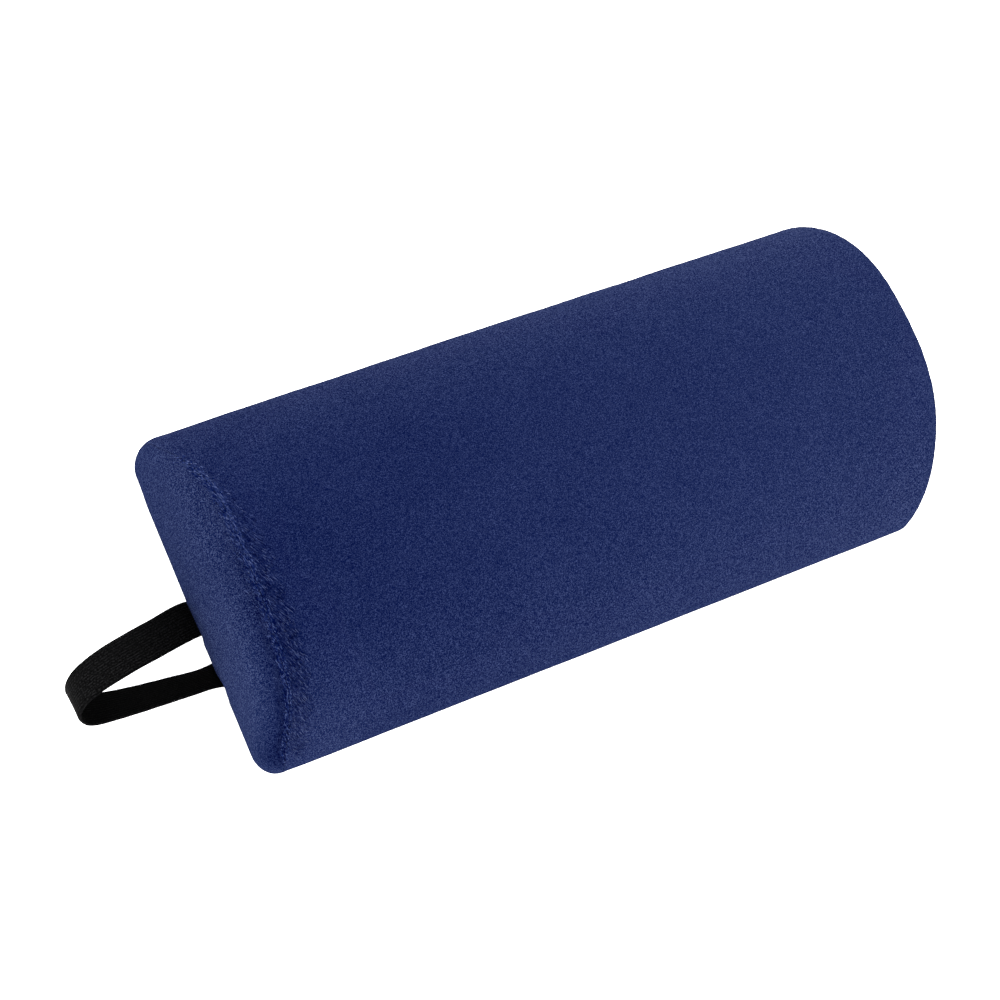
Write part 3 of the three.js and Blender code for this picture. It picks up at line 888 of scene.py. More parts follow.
@dataclass(frozen=True)
class PaintedShadingAndNap:
    """Painted light and shade over the velour's cover, and how rough its nap lies.

    The wrap's painted shading grows lighter from the left end to the right end, a painted lighting
    gradient, and towards the crown's two sides, a painted sheen. A wide patch beside the left seam
    is darker, and its two corners are lighter. The end face is lightest towards its -Y corner. The
    shading is in steps to the eye from the cloth's middle colour.
    Places over the crown are given as the way from the +Y base corner, in metres.

    Fields:
        loop: The walk round the section.
        middle: The painted shading at the middle of the roll.
        along: How much the painted lighting gradient grows in each metre along the roll.
        high_side: The painted sheen on the +Y side.
        low_side: The painted sheen on the -Y side.
        dark_patch: How much darker the patch beside the left seam is.
        low_corner: How much lighter the left end's -Y corner is.
        high_corner: How much lighter a spot near its +Y corner is.
        face_low: How much lighter the end face is on its -Y half.
        face_corner: How much of that it loses right at the -Y corner.
        rough_high: How much rougher the +Y side is than the crown's top, which is 1.
        rough_low: How much rougher the -Y side is.
        rough_end: How much rougher the right end is.
        face_rough: How rough the end face is.
        face_smoother: How much smoother it is on its -Y half.
        right_smoother: How much smoother the right end face is.
    """

    loop: Loop
    middle: float = 1.5
    along: float = 46.0
    high_side: float = 6.5
    low_side: float = 5.5
    dark_patch: float = 2.0
    low_corner: float = 9.0
    high_corner: float = 3.5
    face_low: float = 8.0
    face_corner: float = 6.0
    rough_high: float = 1.0
    rough_low: float = 0.34
    rough_end: float = 0.15
    face_rough: float = 1.1
    face_smoother: float = 0.2
    right_smoother: float = 0.35

    @property
    def high_fade(self) -> np.ndarray:
        """0 at the +Y base corner, easing to 1 a little way up the crown."""
        return smooth_step(0.0, 0.024, self.loop.arc)

    @property
    def low_fade(self) -> np.ndarray:
        """1 over the crown, easing to 0 round the -Y base corner."""
        return 1.0 - smooth_step(0.222, 0.242, self.loop.arc)

    def lie(self, points: np.ndarray, on_face: bool) -> np.ndarray:
        """The painted light and shade: how much lighter the cloth is painted than its middle colour.

        Args:
            points: The skin, row by column.
            on_face: Whether the skin is an end panel's.

        Returns:
            The steps, row by column.
        """
        x, y, over = points[..., 0], points[..., 1], self.loop.arc
        if on_face:
            return (self.face_low * smooth_step(0.004, -0.044, y)
                    - self.face_corner * smooth_step(-0.054, -0.067, y))
        # Painted sheen: the crown's two sides are painted lighter.
        high = self.high_side * np.clip((0.105 - over) / 0.055, 0.0, 1.4) ** 1.5
        low = self.low_side * np.clip((over - 0.120) / 0.090, 0.0, 1.4) ** 1.2
        patch = self.dark_patch * np.exp(-(((x + 0.125) / 0.040) ** 2) - ((over - 0.130) / 0.035) ** 2)
        corner = (self.low_corner * smooth_step(0.152, 0.198, over)
                  + self.high_corner * np.exp(-(((over - 0.082) / 0.020) ** 2)))
        corner = corner * np.exp(-(((x + 0.130) / 0.025) ** 2))
        # self.along * x is a painted lighting gradient, lighter towards the right end.
        return self.middle + self.along * x + high * self.high_fade + (low + corner) * self.low_fade - patch

    def roughness(self, points: np.ndarray, on_face: bool) -> np.ndarray:
        """How rough the nap lies: 1 on the top of the crown, and more towards its two sides.

        Args:
            points: The skin, row by column.
            on_face: Whether the skin is an end panel's.

        Returns:
            The roughness, row by column.
        """
        x, y, over = points[..., 0], points[..., 1], self.loop.arc
        if on_face:
            return (self.face_rough - self.face_smoother * smooth_step(-0.020, -0.055, y)
                    - self.right_smoother * (x > 0.0))
        high = self.rough_high * np.clip((0.095 - over) / 0.065, 0.0, 1.0) ** 1.3
        low = self.rough_low * np.clip((over - 0.150) / 0.050, 0.0, 1.0)
        return 1.0 + high * self.high_fade + low * self.low_fade + self.rough_end * smooth_step(0.060, 0.140, x)


# The strap


@dataclass(frozen=True)
class Station:
    """A place on the strap, in millimetres: out past the left end, across, up, and its turn in degrees."""

    out: float
    across: float
    up: float
    roll: float


@dataclass(frozen=True)
class StrapPath:
    """Places along the strap, and at each its way along, its way across and its inner side."""

    middle: np.ndarray
    along: np.ndarray
    across: np.ndarray
    inward: np.ndarray
    way: np.ndarray


@dataclass
class ElasticStrap:
    """One length of ribbed elastic: sewn in at the left end, out in a loop and back under the roll.

    Fields:
        width: The strap's width, in metres as are all the sizes.
        thickness: Its thickness with its ribs.
        ribs: How many ribs each face has.
        rib_height: How high they stand.
        inner_tone: How much of the threads' grey shows on the inner face.
        steps_across_rib: How many faces go across a rib.
        step_along: The faces' length.
        dent_room: The clear space between the strap and the cloth pressed in round it.
        dent_side: How far past the strap's edges the dent keeps its depth.
        dent_soft: How far it then takes to fade.
        dent_round: How softly the cloth starts to give.
        dent_top: How high up the roll the cloth may be pressed in.
        dent_reach: How near the strap's middle line it has to be.
        dent_inside: How far behind the strap's middle line it may lie.
        dent_past_end: How far past the end plane the strap still presses on the cloth.
        stations: The strap's way, in sewing order.
        form: The roll.
    """

    width: float = 0.016
    thickness: float = 0.0015
    ribs: int = 13
    rib_height: float = 0.00016
    inner_tone: float = 0.1
    steps_across_rib: int = 6
    step_along: float = 0.00095
    dent_room: float = 0.00024
    dent_side: float = 0.0003
    dent_soft: float = 0.0016
    dent_round: float = 0.00018
    dent_top: float = 0.026
    dent_reach: float = 0.022
    dent_inside: float = 0.006
    dent_past_end: float = 0.016
    stations: tuple[Station, ...] = (
        Station(-12, -1, 0.8, 0), Station(-5, -2, 1, 0),
        Station(-1, -0.5, 8.2, 16), Station(18.3, -7, 21.5, 19), Station(37.7, -12.1, 33, 21.5),
        Station(57, -16.9, 29.9, 20.5), Station(57.3, -20.6, 15.3, -11),
        Station(50.8, -22.4, 9.1, -29), Station(30, -25.2, 12.2, -40.5), Station(11.8, -26.3, 11.8, -43),
        Station(0.2, -25.9, 6.9, -50), Station(-6, -27.5, 1.2, 0),
        Station(-30, -26, 0.8, 0), Station(-90, -23, 0.8, 0), Station(-150, -16, 0.8, 0),
        Station(-210, -8, 0.8, 0), Station(-262, -2, 0.8, 0), Station(-292, -1, 0.8, 0),
    )
    form: RollForm = field(default_factory=RollForm)

    def path(self, step: float) -> StrapPath:
        """Draws the strap's middle line as a uniform cubic B-spline through the stations' frame.

        The line starts and ends on its first and last station. The way across is +Y laid square to
        the way along, turned by the station's roll.

        Args:
            step: The spacing of the places in metres.

        Returns:
            The path at even steps.
        """
        left_end = -self.form.length / 2.0
        rows = np.array([[left_end - s.out * MM, s.across * MM, s.up * MM, math.radians(s.roll)]
                         for s in self.stations])
        rows = np.concatenate([[2.0 * rows[0] - rows[1]], rows, [2.0 * rows[-1] - rows[-2]]])
        spans = len(self.stations) - 1

        def spline(t: np.ndarray) -> tuple[np.ndarray, np.ndarray]:
            """Reads the curve and its slope.

            Args:
                t: Places along the curve, counted in spans.

            Returns:
                The places with the roll in radians, and the slopes.
            """
            span = np.minimum(t.astype(int), spans - 1)
            u = (t - span)[:, None]
            weights = [(1 - u) ** 3, 3 * u**3 - 6 * u**2 + 4, -3 * u**3 + 3 * u**2 + 3 * u + 1, u**3]
            slopes = [-3 * (1 - u) ** 2, 9 * u**2 - 12 * u, -9 * u**2 + 6 * u + 3, 3 * u**2]
            value = sum(w * rows[span + k] for k, w in enumerate(weights)) / 6.0
            slope = sum(w * rows[span + k] for k, w in enumerate(slopes)) / 6.0
            return value, slope

        fine = np.linspace(0.0, spans, 6001)
        value, _ = spline(fine)
        way = np.concatenate([[0.0], np.cumsum(np.linalg.norm(np.diff(value[:, :3], axis=0), axis=1))])
        even = np.linspace(0.0, way[-1], max(2, round(way[-1] / step) + 1))
        value, slope = spline(np.interp(even, way, fine))
        along = unit(slope[:, :3])
        side = np.array([0.0, 1.0, 0.0])
        level = unit(side - along * (along @ side)[:, None])
        roll = value[:, 3:4]
        across = level * np.cos(roll) + np.cross(along, level) * np.sin(roll)
        return StrapPath(value[:, :3], along, across, np.cross(along, across), even)

    def make_room(self, points: np.ndarray, depth: np.ndarray) -> np.ndarray:
        """Presses the filled cloth in round the strap, so that it dents instead of meeting it.

        A point nearer the strap's face than room + depth moves away from it by what is missing,
        softly at the strap's edges and ends: by round * ln(1 + e^(missing / round)). The roll lies
        on the outer side of the first run and on the inner side of the second.

        Args:
            points: Points of the roll, as an array whose last axis is the coordinate.
            depth: How deep each point lies under the skin.

        Returns:
            The moved points.
        """
        path = self.path(0.0015)
        tip = int(np.argmin(path.middle[:, 0]))
        near = path.middle[:, 0] > -self.form.length / 2.0 - self.dent_past_end
        index = np.arange(len(path.way))
        moved = points.reshape(-1, 3).copy()
        deep = np.broadcast_to(depth, points.shape[:-1]).reshape(-1)
        for run, side in ((index[near & (index < tip)], -1.0), (index[near & (index > tip)], 1.0)):
            low = np.flatnonzero(moved[:, 2] < self.dent_top)
            apart = moved[low][:, None, :] - path.middle[run][None]
            flat = np.einsum("ijk,ijk->ij", apart, apart)
            nearest = np.argmin(flat, axis=1)
            within = np.sqrt(flat[np.arange(len(low)), nearest]) < self.dent_reach
            low, nearest, apart = low[within], nearest[within], apart[within]
            apart = apart[np.arange(len(low)), nearest]
            place = run[nearest]
            away_side = side * path.inward[place]
            beside = np.abs(np.einsum("ij,ij->i", apart, path.across[place]))
            ahead = np.abs(np.einsum("ij,ij->i", apart, path.along[place]))
            height = np.einsum("ij,ij->i", apart, away_side)
            hold = 1.0 - smooth_step(0.0, self.dent_soft, beside - self.width / 2.0 - self.dent_side)
            hold *= 1.0 - smooth_step(0.0, self.dent_soft, ahead - 0.0015)
            missing = self.thickness / 2.0 + self.dent_room + deep[low] - height
            push = self.dent_round * np.logaddexp(0.0, missing / self.dent_round)
            push = np.where(height > -self.dent_inside - deep[low], push, 0.0)
            moved[low] += away_side * (push * hold)[:, None]
        return moved.reshape(points.shape)

    def build(self) -> bpy.types.Object:
        """Makes the strap: a flat closed band whose two faces carry rounded lengthwise ribs.

        The face's height over the strap's width w is rib height * |sin(pi * ribs * w)|, laid on the
        middle line and joined round the two edges by half turns.

        Returns:
            The strap's object.
        """
        path = self.path(self.step_along)
        half, thick = self.width / 2.0, self.thickness / 2.0
        count = self.ribs * self.steps_across_rib
        share = np.linspace(0.0, 1.0, count + 1)
        rib = np.abs(np.sin(math.pi * self.ribs * share)) ** 0.8
        core = thick - self.rib_height
        inset = half - core * 0.8
        side = -inset + 2.0 * inset * share
        bend = np.linspace(-0.5 * math.pi, 0.5 * math.pi, 7)[1:-1]
        section_side = np.concatenate([side, inset + core * 0.8 * np.cos(bend[::-1]), side[::-1],
                                       -inset - core * 0.8 * np.cos(bend)])
        face = core + self.rib_height * rib
        section_face = np.concatenate([face, core * np.sin(bend[::-1]), -face[::-1], core * np.sin(bend)])
        ribbed = np.concatenate([self.inner_tone * rib, np.full(5, 0.5), rib[::-1], np.full(5, 0.5)])
        draw_in = 1.0 + 0.006 * soft_waves(path.way[:, None], shortest=0.012, longest=0.05, count=10, seed=301)
        lift = 0.00004 * soft_waves(path.middle, shortest=0.004, longest=0.012, count=18, seed=302)
        points = (path.middle[:, None, :]
                  + path.across[:, None, :] * (section_side[None, :] * draw_in[:, None])[..., None]
                  + path.inward[:, None, :] * (section_face[None, :] + lift[:, None])[..., None])
        points[..., 2] = np.maximum(points[..., 2], 0.00002)
        way_round = np.concatenate([[0.0], np.cumsum(np.hypot(np.diff(section_side), np.diff(section_face)))])
        way_round = np.append(way_round, way_round[-1] + 0.0001)
        cloth = np.stack(np.broadcast_arrays(way_round[None, :], path.way[:, None]), -1)
        ends = path.middle[0] - path.along[0] * 0.0003, path.middle[-1] + path.along[-1] * 0.0003
        values = {"rib": np.broadcast_to(ribbed, points.shape[:2])}
        surface = Surface(points, ends[0], ends[1], cloth, values)
        strap = surface.to_object("woven_elastic_strap")
        strap.data.materials.append(Elastic("black_ribbed_elastic").material())
        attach(strap, "root")
        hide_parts("elastic_strap")
        log.info("strap: %.1f mm long, %d faces", path.way[-1] / MM, len(strap.data.polygons))
        return strap


@dataclass(frozen=True)
class Settling:
    """How far the cover has moved outwards over its filling, ring by column, between the seams."""

    x: np.ndarray
    out: np.ndarray

    def at(self, x: np.ndarray) -> np.ndarray:
        """Reads the movement at each point of a skin, and none past the seams.

        Args:
            x: The points' places along the roll, row by column.

        Returns:
            The outward movement in metres, row by column.
        """
        columns = x.shape[1]
        ring = np.interp(x, self.x, np.arange(len(self.x)))
        column = np.broadcast_to(np.arange(columns) * self.out.shape[1] / columns, x.shape)
        low, left = np.minimum(ring.astype(int), len(self.x) - 2), column.astype(int)
        up, over = ring - low, column - left
        right = (left + 1) % self.out.shape[1]
        at_low = self.out[low, left] * (1.0 - over) + self.out[low, right] * over
        at_high = self.out[low + 1, left] * (1.0 - over) + self.out[low + 1, right] * over
        return at_low * (1.0 - up) + at_high * up


@dataclass
class FillingTrial:
    """A short cloth simulation of the cover swelling over its filling, on a coarse copy of the roll.

    Fields:
        form: The roll.
        loop: The walk round its section.
        rings: How many rings the copy has from seam to seam.
        skip: How many of the section's columns make one of the copy's.
        frames: How many frames it runs.
        pressure: The filling's push.
        furthest: The largest movement that is kept, in metres.
        back_pinned: How high the flat back is held still, in metres.
    """

    form: RollForm
    loop: Loop
    rings: int = 57
    skip: int = 4
    frames: int = 20
    pressure: float = 4.0
    furthest: float = 0.0004
    back_pinned: float = 0.0004

    def run(self) -> Settling:
        """Pins the copy along both seams and its flat back, lets it swell, and reads it.

        Returns:
            The outward movement, scaled so that its largest is `furthest`.
        """
        form = self.form
        to_seam = form.length / 2.0 - form.seam_from_end
        x = np.linspace(-to_seam, to_seam, self.rings)
        rows = form.rows(form.length / 2.0 - np.abs(x) - form.shoulder, self.loop)
        side = np.where(x < 0.0, -1.0, 1.0)[:, None]
        smooth = form.skin(replace(rows, side=side), self.loop, np.zeros(rows.profile.shape))
        start = smooth[:, ::self.skip]
        outwards = outward(start, form)
        flat = np.zeros((self.rings, start.shape[1] + 1, 2))
        skin = Surface(start, start[0].mean(axis=0), start[-1].mean(axis=0), flat, {})
        copy = skin.to_object("filling_trial")
        at_seam = np.isin(np.arange(self.rings), (0, self.rings - 1))
        held = (start[..., 2] < self.back_pinned) | at_seam[:, None]
        poles = held.size + np.arange(2)
        copy.vertex_groups.new(name="sewn").add(np.append(np.flatnonzero(held), poles).tolist(), 1.0, "REPLACE")
        cloth = copy.modifiers.new("settle", "CLOTH")
        cloth.settings.vertex_group_mass = "sewn"
        cloth.settings.use_pressure = True
        cloth.settings.uniform_pressure_force = self.pressure
        cloth.settings.effector_weights.gravity = 0.0
        cloth.point_cache.frame_start, cloth.point_cache.frame_end = 1, self.frames
        for frame in range(1, self.frames + 1):
            bpy.context.scene.frame_set(frame)
        settled = copy.evaluated_get(bpy.context.evaluated_depsgraph_get()).to_mesh()
        places = np.empty(len(settled.vertices) * 3, dtype=np.float32)
        settled.vertices.foreach_get("co", places)
        bpy.data.objects.remove(copy)
        bpy.context.scene.frame_set(1)
        moved = places.reshape(-1, 3)[:held.size].reshape(start.shape) - start
        out = np.maximum(np.einsum("ijk,ijk->ij", moved, outwards), 0.0) * ~held
        log.info("filling trial: largest movement %.2f mm, kept %.2f mm", out.max() / MM, self.furthest / MM)
        return Settling(x, out * (self.furthest / max(out.max(), TINY)))


@dataclass
class FilledRoll:
    """The filled cover: the wrap, its two end panels and the pile that stands up along the seams.

    Fields:
        form: The roll's smooth form.
        strap: The strap, which presses the cloth in.
        panel_thickness: The panels' thickness, in metres as are the rest.
        piece_gap: The clear space between a panel and the wrap under it.
        body_step: The rows' spacing along the roll.
        seam_step: The rows' spacing near the left seam.
        lump_height: How high the filling's soft lumps are.
        clump_height: How high the pile's small clumps are.
    """

    form: RollForm = field(default_factory=RollForm)
    strap: ElasticStrap = field(default_factory=ElasticStrap)
    panel_thickness: float = 0.002
    piece_gap: float = 0.0003
    body_step: float = 0.00112
    seam_step: float = 0.00052
    lump_height: float = 0.00013
    clump_height: float = 0.00003

    def __post_init__(self) -> None:
        """Walks round the section once for all the pieces, and settles the cover over its filling.
        """
        self.loop = self.form.loop()
        self.settling: Optional[Settling] = None
        self.form = replace(self.form, swell=0.0)
        self.settling = FillingTrial(self.form, self.loop).run()

    def dress(self, points: np.ndarray, shown: np.ndarray) -> np.ndarray:
        """Adds the settling and soft lumps of the filling, and the pile's small clumps, to a skin.

        Args:
            points: The smooth skin, row by column.
            shown: 1 for the rows of the outer skin.

        Returns:
            The uneven skin.
        """
        lumps = self.lump_height * soft_waves(points, shortest=0.030, longest=0.11, count=40, seed=77)
        clumps = self.clump_height * soft_waves(points, shortest=0.0026, longest=0.0060, count=60, seed=78)
        lift = (lumps + clumps) * shown * smooth_step(0.004, 0.016, points[..., 2])
        if self.settling is not None:
            lift = lift + self.settling.at(points[..., 0])
        return points + outward(points, self.form) * lift[..., None]

    def surface(self, rows: Rows, on_face: bool) -> Surface:
        """Makes a closed skin of rows, with the seams' dips, the lumps and the strap's dent.

        Args:
            rows: The rows from pole to pole.
            on_face: Whether the skin is an end panel's, whose cloth runs up the end face.

        Returns:
            The surface.
        """
        on_left = rows.side < 0.0
        seams = EndSeam(End.LEFT), EndSeam(End.RIGHT)
        left, right = (seam.dip(rows.away, self.loop) for seam in seams)
        left = left * smooth_step(-0.0135, -0.009, rows.profile)
        shown = np.clip(1.0 - rows.depth / 0.001, 0.0, 1.0)
        points = self.form.skin(rows, self.loop, np.where(on_left, left, right) * shown)
        points = self.dress(points, shown)
        points[..., 2] = np.maximum(points[..., 2], rows.depth)
        points = self.strap.make_room(points, rows.depth)
        # pressed holds the seams' painted shading: painted shade in their valleys and a painted highlight on
        # their ridges.
        pressed = np.where(on_left, *(seam.lie(rows.away, self.loop) for seam in seams))
        arc = np.append(self.loop.arc, self.loop.round)
        wide = np.concatenate([points, points[:, :1]], axis=1)
        cloth = np.stack([wide[..., 2] + 0.3, wide[..., 1]] if on_face else
                         [wide[..., 0], np.broadcast_to(arc, wide.shape[:2])], -1)
        # Painted light and shade over the whole cover is stored on the skin with the nap.
        lay = PaintedShadingAndNap(self.loop)
        values = {"lie": EYE_STEP * (pressed + lay.lie(points, on_face)), "nap": lay.roughness(points, on_face)}
        poles = points[0].mean(axis=0), points[-1].mean(axis=0)
        return Surface(points, *poles, cloth, values, rows.away, shown)

    def turned_edge(self, towards: float, side: End) -> Rows:
        """Rows of cloth turned in at a seam.

        Args:
            towards: 1 for the wrap's side of the seam and -1 for the panel's.
            side: The end that the seam is at.

        Returns:
            The rows, from the skin inwards.
        """
        form, loop = self.form, self.loop
        offset = towards * np.array([0.00022, 0.00008, 0.00002, 0.00002])
        depth = np.array([0.00003, 0.0002, 0.0007, 0.0016])
        if side is End.LEFT:
            return form.rows(loop.seam[None, :] + offset[:, None], loop, depth)
        return form.end_rows(form.face_seam + offset / (form.height / 2.0), loop, depth, side)

    def wrap_surface(self) -> Surface:
        """The wrap from seam to seam: stepped down under the left panel and round the right one.

        Returns:
            Its closed skin, from the left pole to the right one.
        """
        form, loop = self.form, self.loop
        under = self.panel_thickness + self.piece_gap
        to_middle = form.length / 2.0 - form.seam_from_end
        fine_to = 0.013
        away = np.concatenate([
            np.linspace(to_middle, fine_to, round((to_middle - fine_to) / self.body_step)),
            np.linspace(fine_to, 0.0005, round(fine_to / self.seam_step))[1:],
        ])
        level = smooth_step(0.003, 0.045, away)[:, None]
        straight = form.seam_from_end - form.shoulder
        left = Rows.joined([
            form.rows(away[:, None] + loop.seam * (1.0 - level) + straight * level, loop),
            self.turned_edge(1.0, End.LEFT),
            form.between(np.array([0.985, 0.8, 0.5, 0.2, 0.0]), loop, under),
            form.end_rows(np.array([0.7, 0.35, 0.05]), loop, under),
        ])
        to_shoulder = form.length / 2.0 - form.shoulder
        ways = np.concatenate([
            np.linspace(to_shoulder, 0.0, round(to_shoulder / self.body_step))[1:],
            np.linspace(0.0, form.rim, 17)[1:],
        ])
        right = Rows.joined([
            form.rows(ways, loop, side=End.RIGHT),
            form.end_rows(np.linspace(1.0, form.face_seam + 0.012, 8)[1:], loop, 0.0, End.RIGHT),
            self.turned_edge(1.0, End.RIGHT),
            form.end_rows(np.array([form.face_seam - 0.004, 0.7, 0.35, 0.05]), loop, under, End.RIGHT),
        ])
        return self.surface(Rows.joined([left.backwards(), right]), False)

    def panel_surface(self, end: End) -> Surface:
        """An end panel: folded over the shoulder at the left end, and set into the face at the right.

        Args:
            end: The end.

        Returns:
            Its closed skin, outer side first.
        """
        form, loop = self.form, self.loop
        thick = self.panel_thickness
        if end is End.LEFT:
            outside = [form.end_rows(np.linspace(0.03, 1.0, 46), loop),
                       form.between(np.linspace(0.0, 0.972, 36)[1:], loop, 0.0)]
            inside = [form.between(np.array([0.985, 0.8, 0.6, 0.4, 0.2, 0.0]), loop, thick),
                      form.end_rows(np.array([0.8, 0.5, 0.2, 0.03]), loop, thick)]
        else:
            near_seam = np.linspace(0.84, form.face_seam - 0.01, 14)[1:]
            outside = [form.end_rows(np.append(np.linspace(0.03, 0.84, 40), near_seam), loop, 0.0, end)]
            under = np.array([form.face_seam - 0.002, 0.8, 0.5, 0.2, 0.03])
            inside = [form.end_rows(under, loop, thick, end)]
        return self.surface(Rows.joined([*outside, self.turned_edge(-1.0, end), *inside]), True)

    def build(self) -> list[bpy.types.Object]:
        """Makes the wrap, the panels and the seams' standing pile.

        Returns:
            The pieces.
        """
        wrap_surface = self.wrap_surface()
        wrap = wrap_surface.to_object("velour_wrap")
        wrap.data.materials.append(Velour("navy_velour_wrap").material())
        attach(wrap, "root")
        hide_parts("filled_wrap")
        log.info("wrap: %d faces", len(wrap.data.polygons))
        # The panels take a lighter navy than the wrap: partly their own colour and partly painted sheen on the
        # end faces.
        finish = Velour("navy_velour_panel_with_painted_sheen", navy=(0.1130, 0.1418, 0.2500), contrast=0.152).material()
        pile_finish = StandingPile("navy_seam_pile").material()
        pieces = [wrap]
        piles = {End.LEFT: SeamPile(End.LEFT, self.form, self.loop),
                 End.RIGHT: SeamPile(End.RIGHT, self.form, self.loop, ridge_count=1500, beside_count=0,
                                     shortest=0.0005, longest=0.0011)}
        for end, node in ((End.LEFT, "end_panel_left"), (End.RIGHT, "end_panel_right")):
            surface = self.panel_surface(end)
            panel = surface.to_object(f"velour_{node}")
            panel.data.materials.append(finish)
            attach(panel, "root")
            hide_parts(node)
            pile = piles[end].build(wrap_surface, surface)
            pile.data.materials.append(pile_finish)
            pieces += [panel, pile]
            log.info("%s: %d faces", panel.name, len(panel.data.polygons))
        return pieces


